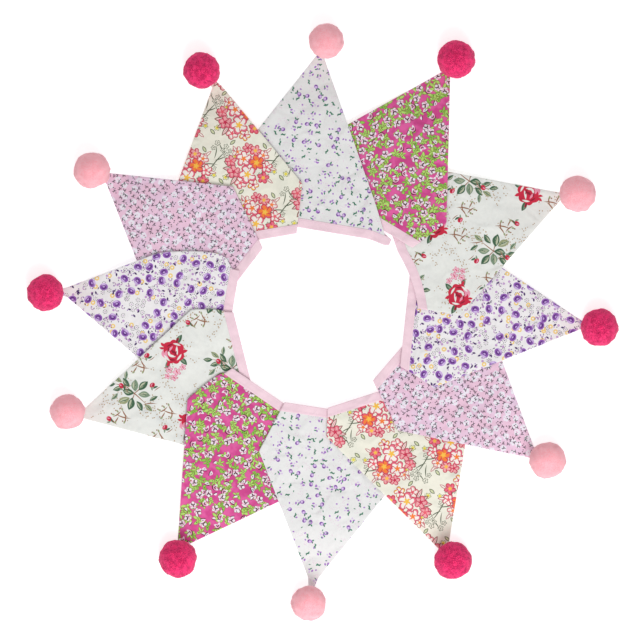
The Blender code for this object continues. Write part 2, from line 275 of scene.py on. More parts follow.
def flag_corners(flag):
    """The flat outline's corners in (s, t), with its hem in the tape and its narrow neck under the ball."""
    middle, along, out = flag_frame(flag)
    half = flag.base / 2
    shoulder = np.array([0.0, flag.height * (1.0 - NECK_WIDE / flag.base)])
    ball = np.array([flag.ball_x, flag.ball_y]) - middle
    ball = np.array([ball @ along, ball @ out])
    back = (shoulder - ball) / np.linalg.norm(shoulder - ball)
    end = ball + BALL_CLEAR * back
    side = np.array([-back[1], back[0]]) * NECK_NARROW / 2
    wide = np.array([NECK_WIDE / 2, 0.0])
    base = [(-half, -HEM_IN_TAPE), (half, -HEM_IN_TAPE), (half, 0.0)]
    return base + [shoulder + wide, end + side, end - side, shoulder - wide, (-half, 0.0)]


def flag_outline(flag):
    """The flat outline in (s, t), anticlockwise, with points along its long sides."""
    corners = flag_corners(flag)
    points = []
    for (s0, t0), (s1, t1) in zip(corners, corners[1:] + corners[:1]):
        pieces = max(round(math.hypot(s1 - s0, t1 - t0) / OUTLINE_STEP), 1)
        for i in range(pieces):
            points.append((s0 + (s1 - s0) * i / pieces, t0 + (t1 - t0) * i / pieces))
    return points


def cut_grid(grid, place, direction):
    """Divides the flat grid along one straight line."""
    bmesh.ops.bisect_plane(
        grid, geom=grid.verts[:] + grid.edges[:] + grid.faces[:],
        dist=1e-4, plane_co=place, plane_no=direction,
    )


def flag_grid(index):
    """The flat flag as a fine triangle mesh in (s, t), divided along its fold and its seams."""
    flag = FLAGS[index]
    start, line, across = fold_axes(flag)
    flat = []
    for point in flag_outline(flag):
        offset = np.array(point) - start
        flat.append((offset @ across - float(fold_bow(flag, offset @ line)), offset @ line))
    grid = bmesh.new()
    face = grid.faces.new([grid.verts.new((u, v, 0.0)) for u, v in flat])
    face.normal_update()
    if face.normal.z < 0:
        face.normal_flip()
    (low_u, low_v), (high_u, high_v) = np.min(flat, axis=0), np.max(flat, axis=0)
    bend = [math.pi * FOLD_RADIUS * i / FOLD_STEPS - FOLD_RADIUS for i in range(FOLD_STEPS + 1)]
    for place in [*np.arange(bend[0], low_u, -FLAG_STEP), *bend[1:], *np.arange(bend[-1], high_u, FLAG_STEP)]:
        cut_grid(grid, (place, 0, 0), (1, 0, 0))
    for place in np.arange(low_v + FLAG_STEP / 2, high_v, FLAG_STEP):
        cut_grid(grid, (0, place, 0), (0, 1, 0))
    for vert in grid.verts:
        u, v = vert.co.x, vert.co.y
        s, t = start + v * line + (u + float(fold_bow(flag, v))) * across
        vert.co = (s, t, 0.0)
    slope = Vector((flag.height, flag.base / 2, 0.0)).normalized()
    for inset in SEAM_LINES:
        for side in (1, -1):
            square = Vector((side * slope.x, slope.y, 0.0))
            cut_grid(grid, Vector((0.0, flag.height, 0.0)) - inset * square, square)
    bmesh.ops.triangulate(grid, faces=grid.faces[:])
    return grid


def seam_distance(flag, s, t):
    """How far a place is from the nearer long side of the flat flag."""
    half = flag.base / 2
    gap = (half - np.abs(s)) * flag.height - half * t
    return np.maximum(gap / math.hypot(half, flag.height), 0.0)


def crease_rise(index, s, t):
    """The listed soft ridges and troughs of one flag."""
    rise = 0.0 * s
    for crease in CREASES:
        if crease.flag != index:
            continue
        turn = math.radians(crease.turn)
        along = (s - crease.s) * math.cos(turn) + (t - crease.t) * math.sin(turn)
        across = (t - crease.t) * math.cos(turn) - (s - crease.s) * math.sin(turn)
        fade = np.cos(np.clip(2 * along / crease.length, -1.0, 1.0) * math.pi / 2) ** 2
        rise = rise + CREASE_STRENGTH * crease.height * fade * np.exp(-((across / crease.width) ** 2))
    return rise


def pucker_rise(index, s, t):
    """Small pulls along the sewn sides, square to them."""
    near = seam_distance(FLAGS[index], s, t)
    along = np.where(s < 0, t - 0.3 * s, t + 0.3 * s + 4.0 * index)
    wave = np.sin(2 * math.pi * along / PUCKER_PITCH) + 0.6 * np.sin(2 * math.pi * along / 5.3 + index)
    tape = np.sin(2 * math.pi * s / TAPE_PUCKER_PITCH + 2 * index) * np.exp(-np.maximum(t, 0.0) / 7.0)
    return PUCKER * (wave * np.exp(-near / 4.0) * smooth(0.0, 3.0, near) + 0.8 * tape)


def piece_object(name, mesh, material):
    """A finished piece with its material, in the scene."""
    mesh.materials.clear()
    mesh.materials.append(material)
    piece = bpy.data.objects.new(name, mesh)
    bpy.context.scene.collection.objects.link(piece)
    return piece


def flat_map(mesh, places):
    """A UV map that holds each point's place on the flat cloth, in metres."""
    layer = mesh.uv_layers.new(name="flat")
    corners = np.empty(len(mesh.loops), dtype=np.int32)
    mesh.loops.foreach_get("vertex_index", corners)
    layer.data.foreach_set("uv", (places[corners] * MM).astype(np.float32).ravel())


def point_values(mesh, name, values):
    """An attribute with one number for each point."""
    layer = mesh.attributes.new(name, "FLOAT", "POINT")
    layer.data.foreach_set("value", np.asarray(values, dtype=np.float32))


def flag_mesh(index, half_thick):
    """One flag's cloth: two layers pressed together, with its seams, creases and turned corner."""
    flag = FLAGS[index]
    grid = flag_grid(index)
    grid.verts.index_update()
    flat = np.array([vert.co[:2] for vert in grid.verts])
    faces = [[vert.index for vert in face.verts] for face in grid.faces]
    rim = []
    for edge in grid.edges:
        if edge.is_boundary:
            loop = edge.link_loops[0]
            rim.append((loop.vert.index, loop.link_loop_next.vert.index))
    grid.free()
    s, t = flat[:, 0], flat[:, 1]
    near = seam_distance(flag, s, t)
    half = half_thick * (0.4 + 0.6 * smooth(0.0, 0.9, near))
    half = half + SEAM_RAISE * (smooth(0.0, 1.0, near) - smooth(4.6, 6.8, near))
    middle = lay(index, s, t)
    normal = normal_at(index, s, t)
    rise = crease_rise(index, s, t) + pucker_rise(index, s, t)
    rise = np.maximum(rise, half + FLOOR_GAP - middle[:, 2])[:, None]
    top = middle + (rise + half[:, None]) * normal
    bottom = middle + (rise - half[:, None]) * normal
    count = len(flat)
    faces += [[i + count for i in reversed(face)] for face in faces]
    faces += [[b, a, a + count, b + count] for a, b in rim]
    mesh = bpy.data.meshes.new(f"bunting_flag_{index + 1:02d}")
    mesh.from_pydata((np.vstack([top, bottom]) * MM).tolist(), [], faces)
    flat_map(mesh, np.vstack([flat, flat]) + (flag.cut_x, flag.cut_y))
    point_values(mesh, "seam", np.concatenate([near, near]))
    mesh.shade_smooth()
    return mesh


def tape_section(layer):
    """The folded tape's closed section, as t and height, with a gap for the cloth between its two layers."""
    outer = TAPE_GAP + layer
    top = [(0.9, outer - 0.08), (0.5, outer), (-1.0, outer - 0.05), (-4.4, outer - 0.02)]
    top.append((-7.3, outer - 0.10))
    turn = []
    for i in range(1, 6):
        angle = math.pi * (0.5 - i / 6)
        turn.append((-TAPE_REACH + 0.55 - 0.55 * math.cos(angle), (outer - 0.14) * math.sin(angle)))
    inside_top = [(-7.6, 0.22), (-4.4, TAPE_GAP), (0.9, TAPE_GAP)]
    under = [(t, -h) for t, h in reversed(top)]
    inside = [(t, -h) for t, h in reversed(inside_top)]
    return np.array(top + turn + under + inside + inside_top)


def on_flag(index, s, slant, section):
    """The section's points across the tape where it runs along a flag's base."""
    t, height = section[:, 0], section[:, 1]
    if index == 0:
        tuck = smooth(FLAGS[0].fold_at - END_ROUND, FLAGS[0].fold_at + FOLD_RADIUS, s)
        t = TAPE_MIDDLE + (t - TAPE_MIDDLE) * (1.0 - END_TUCK * tuck)
    place = s + slant * t
    wobble = 1.0 + 0.05 * math.sin(0.9 * s + index) + 0.04 * math.sin(0.37 * s)
    lifted = height * wobble + 0.07 * math.sin(2 * math.pi * s / TAPE_PUCKER_PITCH + 2 * index)
    return lay(index, place, t) + lifted[:, None] * normal_at(index, place, t)


def tape_on_flag(index, first, section):
    """The tape's sections along one flag's base, round its fold, to just past the folded corner."""
    flag = FLAGS[index]
    lean = math.radians(flag.fold_lean)
    last = flag.base / 2 + TAPE_PAST_CORNER if index else flag.fold_at + END_TURNED_UNDER
    bend = [
        flag.fold_at + (math.pi * FOLD_RADIUS * i / FOLD_STEPS - FOLD_RADIUS) / math.cos(lean)
        for i in range(FOLD_STEPS + 1)
    ]
    before = np.linspace(first, bend[0], round((bend[0] - first) / TAPE_STEP) + 1)[:-1]
    after = np.linspace(bend[-1], last, max(round((last - bend[-1]) / TAPE_STEP), 2) + 1)[1:]
    rings = []
    for s in [*before, *bend, *after]:
        slant = math.tan(lean) * smooth(bend[0] - SLANT_LENGTH, bend[0], s)
        rings.append(on_flag(index, s, slant * (1.0 - smooth(bend[-1], last, s)), section))
    return rings


def tape_link(index, following, begin, heading, section):
    """The hidden tape from one flag's folded corner to its hairpin before the next flag."""
    middle, along, out = flag_frame(FLAGS[following])
    turn_s = -FLAGS[following].base / 2 - TAPE_LEAD
    end = middle + turn_s * along + TAPE_MIDDLE * out
    t, height = section[:, 0], section[:, 1]
    span = np.linalg.norm(end - begin)
    rings = []
    for i in range(1, LINK_STEPS + 1):
        q = i / LINK_STEPS
        place = (
            (2 * q**3 - 3 * q**2 + 1) * begin
            + (q**3 - 2 * q**2 + q) * span * heading
            + (3 * q**2 - 2 * q**3) * end
            - (q**3 - q**2) * span * along
        )
        slope = (
            (6 * q**2 - 6 * q) * (begin - end)
            + (3 * q**2 - 4 * q + 1) * span * heading
            - (3 * q**2 - 2 * q) * span * along
        )
        slope = slope / np.linalg.norm(slope)
        x = place[0] + slope[1] * (t - TAPE_MIDDLE)
        y = place[1] - slope[0] * (t - TAPE_MIDDLE)
        rings.append(np.stack([x, y, cloth_height(index, x, y) - 2 * FOLD_RADIUS - height], axis=-1))
    x = middle[0] + turn_s * along[0] + t * out[0]
    y = middle[1] + turn_s * along[1] + t * out[1]
    high = cloth_height(index, x, y) - 2 * FOLD_RADIUS
    low = cloth_height(following, x, y)
    radius = (high - low) / 2
    for i in range(1, HAIRPIN_STEPS):
        angle = math.pi * (0.5 - i / HAIRPIN_STEPS)
        back = (height - radius) * math.cos(angle)
        level = (high + low) / 2 + (radius - height) * math.sin(angle)
        rings.append(np.stack([x + back * along[0], y + back * along[1], level], axis=-1))
    return rings


def tape_rings(section):
    """All sections of the one tape, from the second flag round to the first."""
    order = [*range(1, RING), 0]
    rings = []
    middle_line = np.array([(-0.35, 0.0), (-TAPE_REACH, 0.0)])
    for index, following in zip(order, order[1:] + [None]):
        first = -FLAGS[index].base / 2 - TAPE_LEAD
        rings += tape_on_flag(index, first, section)
        if following is not None:
            outer, inner = tape_on_flag(index, first, middle_line)[-1][:, :2]
            side = (outer - inner) / np.linalg.norm(outer - inner)
            heading = np.array([-side[1], side[0]])
            rings += tape_link(index, following, (outer + inner) / 2, heading, section)
    rings = np.array(rings)
    rings[..., 2] = np.maximum(rings[..., 2], FLOOR_GAP)
    return rings


def tape_mesh(layer):
    """The folded tape as one closed mesh."""
    section = tape_section(layer)
    rings = tape_rings(section)
    count, around = rings.shape[:2]
    faces = []
    for i in range(count - 1):
        for j in range(around):
            k = (j + 1) % around
            faces.append([i * around + j, i * around + k, (i + 1) * around + k, (i + 1) * around + j])
    faces.append(list(range(around)))
    faces.append([(count - 1) * around + j for j in reversed(range(around))])
    mesh = bpy.data.meshes.new("bunting_tape")
    mesh.from_pydata((rings.reshape(-1, 3) * MM).tolist(), [], faces)
    body = bmesh.new()
    body.from_mesh(mesh)
    bmesh.ops.recalc_face_normals(body, faces=body.faces[:])
    body.to_mesh(mesh)
    body.free()
    steps = np.linalg.norm(np.diff(rings.mean(axis=1), axis=0), axis=-1)
    run = np.concatenate([[0.0], np.cumsum(steps)])
    places = np.stack([np.repeat(run, around), np.tile(section[:, 0], count)], axis=-1)
    flat_map(mesh, places)
    # Distance from the stitch line, where the tape's painted shade lies.
    point_values(mesh, "seam", np.tile(np.abs(section[:, 0] - STITCH_LINE), count))
    # How far into the rolled end each point lies, for the painted shade there.
    turned = run[-1] - END_TURNED_UNDER
    point_values(mesh, "rolled_end_shade", np.repeat(smooth(turned - END_ROUND, turned + 1.0, run), around))
    mesh.shade_smooth()
    return mesh, run[-1]


def stitch_path(layer):
    """Two lines of points along the tape, one on each face, where the sewing lies."""
    height = TAPE_GAP + layer + STITCH_RAISE
    verts, edges = [], []
    for side in (height, -height):
        line = tape_rings(np.array([(STITCH_LINE, side)]))[:, 0]
        line[:, 2] = np.maximum(line[:, 2], 4 * FLOOR_GAP)
        edges += [(len(verts) + i, len(verts) + i + 1) for i in range(len(line) - 1)]
        verts += [tuple(point * MM) for point in line]
    mesh = bpy.data.meshes.new("stitch_path")
    mesh.from_pydata(verts, edges, [])
    return mesh


def opaque(colour):
    """A colour for a socket: another socket, or three numbers with a full fourth."""
    return colour if isinstance(colour, bpy.types.NodeSocket) else (*colour, 1.0)


def new_material(name):
    """A new material with its tree and its shader."""
    material = bpy.data.materials.new(name)
    material.use_nodes = True
    return material, Tree(material.node_tree), material.node_tree.nodes["Principled BSDF"]


class Tree:
    """A node tree written as plain calls: each adds one node and gives one of its outputs."""

    def __init__(self, nodes):
        self.nodes = nodes.nodes
        self.links = nodes.links

    def add(self, kind, *values, give=0, **settings):
        node = self.nodes.new(kind)
        for name, value in settings.items():
            setattr(node, name, value)
        for socket, value in zip([s for s in node.inputs if s.enabled], values):
            self.feed(socket, value)
        if isinstance(give, str):
            return node.outputs[give]
        return [s for s in node.outputs if s.enabled][give]

    def feed(self, socket, value):
        if isinstance(value, bpy.types.NodeSocket):
            self.links.new(value, socket)
        elif value is not None:
            socket.default_value = value

    def math(self, operation, *values, clamp=False):
        return self.add("ShaderNodeMath", *values, operation=operation, use_clamp=clamp)

    def mix(self, share, under, over):
        """A colour between two, each a socket or three numbers."""
        return self.add("ShaderNodeMix", share, opaque(under), opaque(over), data_type="RGBA")

    def fill(self, node, **inputs):
        """Feeds a node's inputs by name, where underscores stand for spaces, and gives its outputs."""
        for name, value in inputs.items():
            self.feed(node.inputs[name.replace("_", " ")], value)
        return node.outputs

    def node(self, kind, settings=None, **inputs):
        """A new node with its settings and inputs, for its outputs."""
        node = self.nodes.new(kind)
        for name, value in (settings or {}).items():
            setattr(node, name, value)
        return self.fill(node, **inputs)

    def parts(self, vector):
        """A vector's three numbers."""
        return self.node("ShaderNodeSeparateXYZ", Vector=vector)[:3]

    def vector(self, x, y, z=0.0):
        return self.node("ShaderNodeCombineXYZ", X=x, Y=y, Z=z)[0]

    def scale(self, vector, factor):
        return self.add("ShaderNodeVectorMath", vector, factor, operation="SCALE")

    def noise(self, place, scale, detail=2.0, distortion=0.0):
        """Soft clouds from 0 to 1, with so many of them to a unit."""
        inputs = {"Vector": place, "Scale": scale, "Detail": detail, "Distortion": distortion}
        return self.node("ShaderNodeTexNoise", **inputs)[0]

    def kept(self, name):
        """A number that the mesh holds for each point."""
        return self.node("ShaderNodeAttribute", {"attribute_name": name})["Fac"]

    def bump(self, height, strength, distance, normal=None):
        inputs = {"Height": height, "Strength": strength, "Distance": distance, "Normal": normal}
        return self.node("ShaderNodeBump", **inputs)[0]


# The painted edges of the print are this soft.
PAINT_EDGE = 0.35

MOTIF_INPUTS = (
    ("Under", "NodeSocketColor"), ("Colour", "NodeSocketColor"), ("Where", "NodeSocketVector"),
    ("Place", "NodeSocketVector"), ("Turn", "NodeSocketFloat"), ("Size", "NodeSocketVector"),
    ("Edge", "NodeSocketFloat"), ("Mask", "NodeSocketFloat"),
)
# What each kind of motif takes besides.
MOTIF_KINDS = {
    "disc": (),
    "leaf": (("Bend", "NodeSocketFloat"),),
    "ring": (("Width", "NodeSocketFloat"), ("Beads", "NodeSocketFloat")),
    "flower": (
        ("Petals", "NodeSocketFloat"), ("Notch", "NodeSocketFloat"), ("Line", "NodeSocketFloat"),
        ("Inner", "NodeSocketColor"),
    ),
}
# A motif's place follows the colour under it by this little, so that motifs are worked out one by one.
IN_TURN = 1e-6


class Motif(Tree):
    """The node group that paints one kind of motif over what lies under it."""

    def __init__(self, kind):
        self.group = bpy.data.node_groups.new("motif_" + kind, "ShaderNodeTree")
        for label, socket in MOTIF_INPUTS + MOTIF_KINDS[kind]:
            self.group.interface.new_socket(label, in_out="INPUT", socket_type=socket)
        self.group.interface.new_socket("Colour", in_out="OUTPUT", socket_type="NodeSocketColor")
        super().__init__(self.group)
        self.given = self.nodes.new("NodeGroupInput").outputs
        anchor = self.add(
            "ShaderNodeVectorMath", self.given["Under"], (IN_TURN,) * 3, self.given["Where"],
            operation="MULTIPLY_ADD",
        )
        self.spot = self.node(
            "ShaderNodeMapping", {"vector_type": "TEXTURE"}, Vector=anchor, Location=self.given["Place"],
            Rotation=self.vector(0.0, 0.0, self.given["Turn"]), Scale=self.given["Size"],
        )[0]
        self.node("NodeGroupOutput", Colour=getattr(self, kind)(self.given["Under"]))

    def reach(self):
        return self.add("ShaderNodeVectorMath", self.spot, operation="LENGTH", give="Value")

    def within(self, depth):
        """1 where a depth, in shares of the motif's size, is positive, and where the mask lets it through."""
        inside = self.math("MULTIPLY_ADD", depth, self.given["Edge"], 0.5, clamp=True)
        return self.math("MULTIPLY", inside, self.given["Mask"])

    def disc(self, under):
        depth = self.math("SUBTRACT", 1.0, self.reach())
        return self.mix(self.within(depth), under, self.given["Colour"])

    def leaf(self, under):
        x, y, _ = self.parts(self.spot)
        square = self.math("MULTIPLY", x, x)
        side = self.math("ABSOLUTE", self.math("MULTIPLY_ADD", square, self.given["Bend"], y))
        depth = self.math("SUBTRACT", self.math("SUBTRACT", 1.0, square), side)
        return self.mix(self.within(depth), under, self.given["Colour"])

    def ring(self, under):
        off = self.math("ABSOLUTE", self.math("SUBTRACT", self.reach(), 1.0))
        x, y, _ = self.parts(self.spot)
        wave = self.math("COSINE", self.math("MULTIPLY", self.math("ARCTAN2", y, x), self.given["Beads"]))
        beads = self.math("MULTIPLY_ADD", wave, 2.5, 0.2, clamp=True)
        line = self.within(self.math("SUBTRACT", self.given["Width"], off))
        return self.mix(self.math("MULTIPLY", line, beads), under, self.given["Colour"])

    def flower(self, under):
        x, y, _ = self.parts(self.spot)
        half = self.math("MULTIPLY", self.given["Petals"], 0.5)
        wave = self.math("COSINE", self.math("MULTIPLY", self.math("ARCTAN2", y, x), half))
        dip = self.math("SUBTRACT", 1.0, self.math("ABSOLUTE", wave))
        fall = self.math("MULTIPLY", dip, self.given["Notch"])
        depth = self.math("SUBTRACT", self.math("SUBTRACT", 1.0, fall), self.reach())
        edge = self.mix(self.within(depth), under, self.given["Colour"])
        inside = self.within(self.math("SUBTRACT", depth, self.given["Line"]))
        return self.mix(inside, edge, self.given["Inner"])


def motif_group(kind):
    """The node group of a kind of motif, made when it's first asked for."""
    return bpy.data.node_groups.get("motif_" + kind) or Motif(kind).group


class Cloth(Tree):
    """A printed cotton: motifs are painted one over the other on its ground, in millimetres."""

    def __init__(self, name, ground):
        self.material, _, self.shader = new_material(name)
        super().__init__(self.material.node_tree)
        self.flat = self.scale(self.add("ShaderNodeUVMap", uv_map="flat"), 1.0 / MM)
        self.colour = ground

    def paint(self, colour, mask):
        """Lays a colour over the print wherever the mask is 1."""
        self.colour = self.mix(mask, self.colour, colour)

    def motif(self, kind, where, place, turn, size, colour, mask, **extra):
        """Paints one motif: its middle, its turn in degrees, and how far it reaches along and across."""
        self.colour = self.node(
            "ShaderNodeGroup", {"node_tree": motif_group(kind)}, Under=opaque(self.colour), Where=where,
            Colour=opaque(colour), Place=(*place, 0.0), Turn=math.radians(turn), Size=(*size, 1.0),
            Edge=min(size) / PAINT_EDGE, Mask=1.0 if mask is None else mask, **extra,
        )[0]

    def scatter(self, cell, spread, shift=0.0):
        """Places strewn over the cloth: the place from the nearest one's middle, and three chances for it."""
        start = self.flat
        if shift:
            start = self.add("ShaderNodeVectorMath", self.flat, (shift, 1.7 * shift, 0.0), operation="ADD")
        cells = self.node(
            "ShaderNodeTexVoronoi", {"voronoi_dimensions": "2D"},
            Vector=start, Scale=1.0 / cell, Randomness=spread,
        )
        where = self.add("ShaderNodeVectorMath", start, cells["Position"], operation="SUBTRACT")
        chances = self.node("ShaderNodeSeparateColor", Color=cells["Color"])
        angle = self.math("MULTIPLY", chances[0], 2 * math.pi)
        where = self.node("ShaderNodeVectorRotate", {"rotation_type": "Z_AXIS"}, Vector=where, Angle=angle)[0]
        return where, chances

    def chosen(self, chance, low, high):
        """1 where a chance lies between two shares."""
        off = self.math("ABSOLUTE", self.math("SUBTRACT", chance, (low + high) / 2))
        return self.math("LESS_THAN", off, (high - low) / 2)

    def mottle(self, colour, scale, factor, offset):
        """Lays a colour over the ground in soft clouds, and gives the clouds."""
        cloud = self.noise(self.flat, scale)
        self.paint(colour, self.math("MULTIPLY_ADD", cloud, factor, offset, clamp=True))
        return cloud

    def repeat(self, wide, high, x, y, drop=0.5):
        """The place in a repeat of the print, from the repeat's middle, every other column dropped."""
        x_here, y_here, _ = self.parts(self.flat)
        across = self.math("SUBTRACT", x_here, x)
        column = self.math("FLOOR", self.math("MULTIPLY_ADD", across, 1.0 / wide, 0.5))
        dropped = self.math("MULTIPLY", self.math("PINGPONG", column, 1.0), high * drop)
        up = self.math("SUBTRACT", self.math("SUBTRACT", y_here, y), dropped)
        inner_x = self.math("WRAP", across, wide / 2, -wide / 2)
        return self.vector(inner_x, self.math("WRAP", up, high / 2, -high / 2))

    def finish(self, weave, seam_tone):
        """The weave's tone and relief, a tone laid along the seams, and the cloth's surface: a lighter rim at
        the flags' edges, painted shade along the tape's stitch line.
        """
        turns = [self.math("MULTIPLY", axis, 2 * math.pi / weave) for axis in self.parts(self.flat)[:2]]
        threads = self.math("MULTIPLY", *[self.math("SINE", turn) for turn in turns])
        slub = self.noise(self.flat, 0.35, 6.0)
        tone = self.math("MULTIPLY_ADD", slub, 0.10, 0.945)
        tone = self.math("MULTIPLY_ADD", threads, 0.02, tone)
        # Near the seam the seam tone is laid over the colour: a lighter rim at the flags' edges, painted
        # shade along the tape's stitch line.
        rim = self.math("SUBTRACT", 1.0, self.math("DIVIDE", self.kept("seam"), 0.8), clamp=True)
        self.paint(seam_tone, self.math("MULTIPLY", rim, 0.45))
        soft = self.bump(self.noise(self.flat, 0.045, 1.5, 0.6), 0.6, 0.007)
        self.fill(
            self.shader, Base_Color=self.scale(self.colour, tone), Roughness=0.85, Specular_IOR_Level=0.25,
            Sheen_Weight=0.15, Sheen_Roughness=0.5,
            Normal=self.bump(self.math("MULTIPLY_ADD", slub, 2.0, threads), 0.35, 0.00006, soft),
        )
        return self.material


def leaf_at(cloth, where, x, y, turn, long, wide, colour, bend=0.0, mask=None):
    """One painted leaf or thin stroke, pointed at both ends."""
    cloth.motif("leaf", where, (x, y), turn, (long, wide), colour, mask, Bend=bend)


def dot_at(cloth, where, x, y, long, colour, mask=None, wide=None, turn=0.0):
    """One painted dot or oval."""
    cloth.motif("disc", where, (x, y), turn, (long, wide or long), colour, mask)


def ring_at(cloth, where, radius, width, colour, mask, beads=0):
    """One painted ring, whole or of beads; its width is a share of its radius."""
    cloth.motif("ring", where, (0.0, 0.0), 0.0, (radius, radius), colour, mask, Width=width, Beads=beads)


def blossom_at(cloth, where, x, y, turn, size, edge, petal, notch=0.35, petals=5, line=0.5, mask=None):
    """A flower of round petals with an outline."""
    cloth.motif(
        "flower", where, (x, y), turn, (size, size), edge, mask,
        Petals=petals, Notch=notch, Line=line / size, Inner=(*petal, 1.0),
    )


def sprig_print():
    """Violet rosettes, dots in threes and small green sprigs on a cool white ground."""
    violet, deep, pale = (0.36, 0.17, 0.52), (0.15, 0.05, 0.27), (0.64, 0.50, 0.74)
    green, dark_green, pink = (0.05, 0.22, 0.13), (0.015, 0.10, 0.06), (0.74, 0.50, 0.66)
    cloth = Cloth("cotton_sprig", (0.75, 0.75, 0.745))
    where, chances = cloth.scatter(1.9, 1.0)
    spray = cloth.math("GREATER_THAN", cloth.noise(cloth.flat, 0.12), 0.57)
    dot_at(cloth, where, 0.0, 0.0, 0.34, pink, spray)
    where, chances = cloth.scatter(9.4, 0.85)
    rose = cloth.chosen(chances[1], 0.0, 0.22)
    pairs = cloth.chosen(chances[1], 0.22, 0.48)
    sprig = cloth.chosen(chances[1], 0.48, 0.78)
    dot_at(cloth, where, 0.0, 0.0, 2.3, violet, rose, 1.9)
    dot_at(cloth, where, 0.4, -0.3, 1.1, pale, rose)
    leaf_at(cloth, where, -1.1, 0.8, 60, 1.5, 0.6, deep, 0.4, rose)
    leaf_at(cloth, where, 3.3, 0.9, 35, 1.6, 0.8, green, 0.0, rose)
    leaf_at(cloth, where, 3.0, -1.2, -50, 1.5, 0.7, dark_green, 0.3, rose)
    dot_at(cloth, where, -1.5, 0.3, 1.35, violet, pairs, 0.9, 50)
    dot_at(cloth, where, 1.5, 1.2, 1.0, pale, pairs, 0.8)
    dot_at(cloth, where, 1.2, -1.4, 1.15, violet, pairs, 0.8, -30)
    leaf_at(cloth, where, -0.4, -2.0, 20, 1.5, 0.65, green, 0.0, pairs)
    leaf_at(cloth, where, 0.0, 0.0, 10, 2.1, 0.65, dark_green, 0.6, sprig)
    leaf_at(cloth, where, 1.0, 1.0, 65, 1.5, 0.7, green, 0.0, sprig)
    leaf_at(cloth, where, -0.9, -1.1, 80, 1.3, 0.6, green, 0.0, sprig)
    where, chances = cloth.scatter(6.9, 0.9, 31.0)
    few = cloth.chosen(chances[1], 0.0, 0.30)
    dot_at(cloth, where, 0.0, 0.0, 1.0, violet, few, 0.75)
    greens = cloth.chosen(chances[1], 0.42, 0.62)
    leaf_at(cloth, where, 0.6, 0.5, 30, 1.2, 0.5, green, 0.0, greens)
    return cloth.finish(0.45, (0.86, 0.87, 0.90))


def magenta_print():
    """Dense lime leaves and small white flowers with dark strokes on a magenta ground."""
    lime, light, shade, dot = (0.27, 0.56, 0.08), (0.42, 0.68, 0.15), (0.17, 0.13, 0.035), (0.015, 0.13, 0.02)
    white, blush, dark, pink = (0.80, 0.72, 0.78), (0.80, 0.34, 0.52), (0.09, 0.006, 0.03), (0.70, 0.11, 0.34)
    cloth = Cloth("cotton_magenta", (0.58, 0.06, 0.25))
    cloth.mottle(pink, 0.09, 6.0, -2.6)
    for cell, shift, share, tint in (
        (8.8, 0.0, 0.40, lime), (8.2, 17.0, 0.38, light), (9.4, 43.0, 0.38, light),
    ):
        where, chances = cloth.scatter(cell, 0.9, shift)
        leaves = cloth.chosen(chances[1], 0.0, share)
        seeded = cloth.math("MULTIPLY", leaves, cloth.chosen(chances[2], 0.0, 0.6))
        for x, y, turn, long, wide in (
            (-2.7, 0.3, 8, 3.3, 1.3), (1.8, 1.7, 42, 2.9, 1.3), (1.8, -1.9, -46, 2.7, 0.9),
            (-1.0, -2.5, -110, 2.2, 0.7),
        ):
            leaf_at(cloth, where, x, y, turn, long + 0.5, wide + 0.45, shade, 0.25, leaves)
            leaf_at(cloth, where, x, y, turn, long, wide, tint, 0.25, leaves)
        dot_at(cloth, where, 1.5, 1.4, 0.75, dot, seeded, 0.5, 42)
        dot_at(cloth, where, -2.2, 0.4, 0.5, dot, seeded)
    where, chances = cloth.scatter(10.6, 0.8, 71.0)
    flowers = cloth.chosen(chances[1], 0.0, 0.50)
    pinks = cloth.chosen(chances[1], 0.50, 0.78)
    petals = cloth.chosen(chances[1], 0.78, 0.97)
    blossom_at(cloth, where, 0.0, 0.0, 10, 4.2, shade, white, 0.34, 5, 0.4, flowers)
    for x, y, turn, long, wide, tint in (
        (-0.9, 0.9, 130, 1.8, 0.75, dark), (1.1, 0.5, 40, 1.6, 0.65, dark), (0.1, -1.0, 95, 1.5, 0.5, dark),
        (1.9, -1.6, 20, 1.6, 0.7, blush), (-2.0, -1.0, 150, 1.4, 0.6, blush),
    ):
        leaf_at(cloth, where, x, y, turn, long, wide, tint, 0.35, flowers)
    for x, y, turn, long, wide, tint in (
        (-0.4, -1.8, 5, 3.4, 1.4, dark), (-0.2, -1.2, 5, 2.9, 0.9, blush), (-1.3, 0.9, 125, 2.6, 1.3, white),
        (1.5, 0.9, 40, 2.4, 1.2, white), (0.0, 0.4, 80, 2.0, 0.9, blush), (0.6, -0.2, 30, 1.7, 0.5, dark),
        (-0.9, 0.2, 110, 1.6, 0.5, dark),
    ):
        leaf_at(cloth, where, x, y, turn, long, wide, tint, -0.5, pinks)
    leaf_at(cloth, where, 0.2, -0.7, 0, 2.8, 1.4, dark, 0.8, petals)
    leaf_at(cloth, where, 0.0, 0.2, 0, 2.5, 1.5, white, 0.6, petals)
    leaf_at(cloth, where, 0.3, 0.1, 10, 1.2, 0.4, dark, 0.5, petals)
    where, chances = cloth.scatter(9.2, 0.9, 97.0)
    strokes = cloth.chosen(chances[1], 0.0, 0.42)
    leaf_at(cloth, where, 0.0, -0.3, 0, 2.3, 1.1, dark, 0.7, strokes)
    leaf_at(cloth, where, 0.0, 0.3, 0, 1.9, 1.0, white, 0.7, strokes)
    return cloth.finish(0.45, (0.80, 0.30, 0.55))


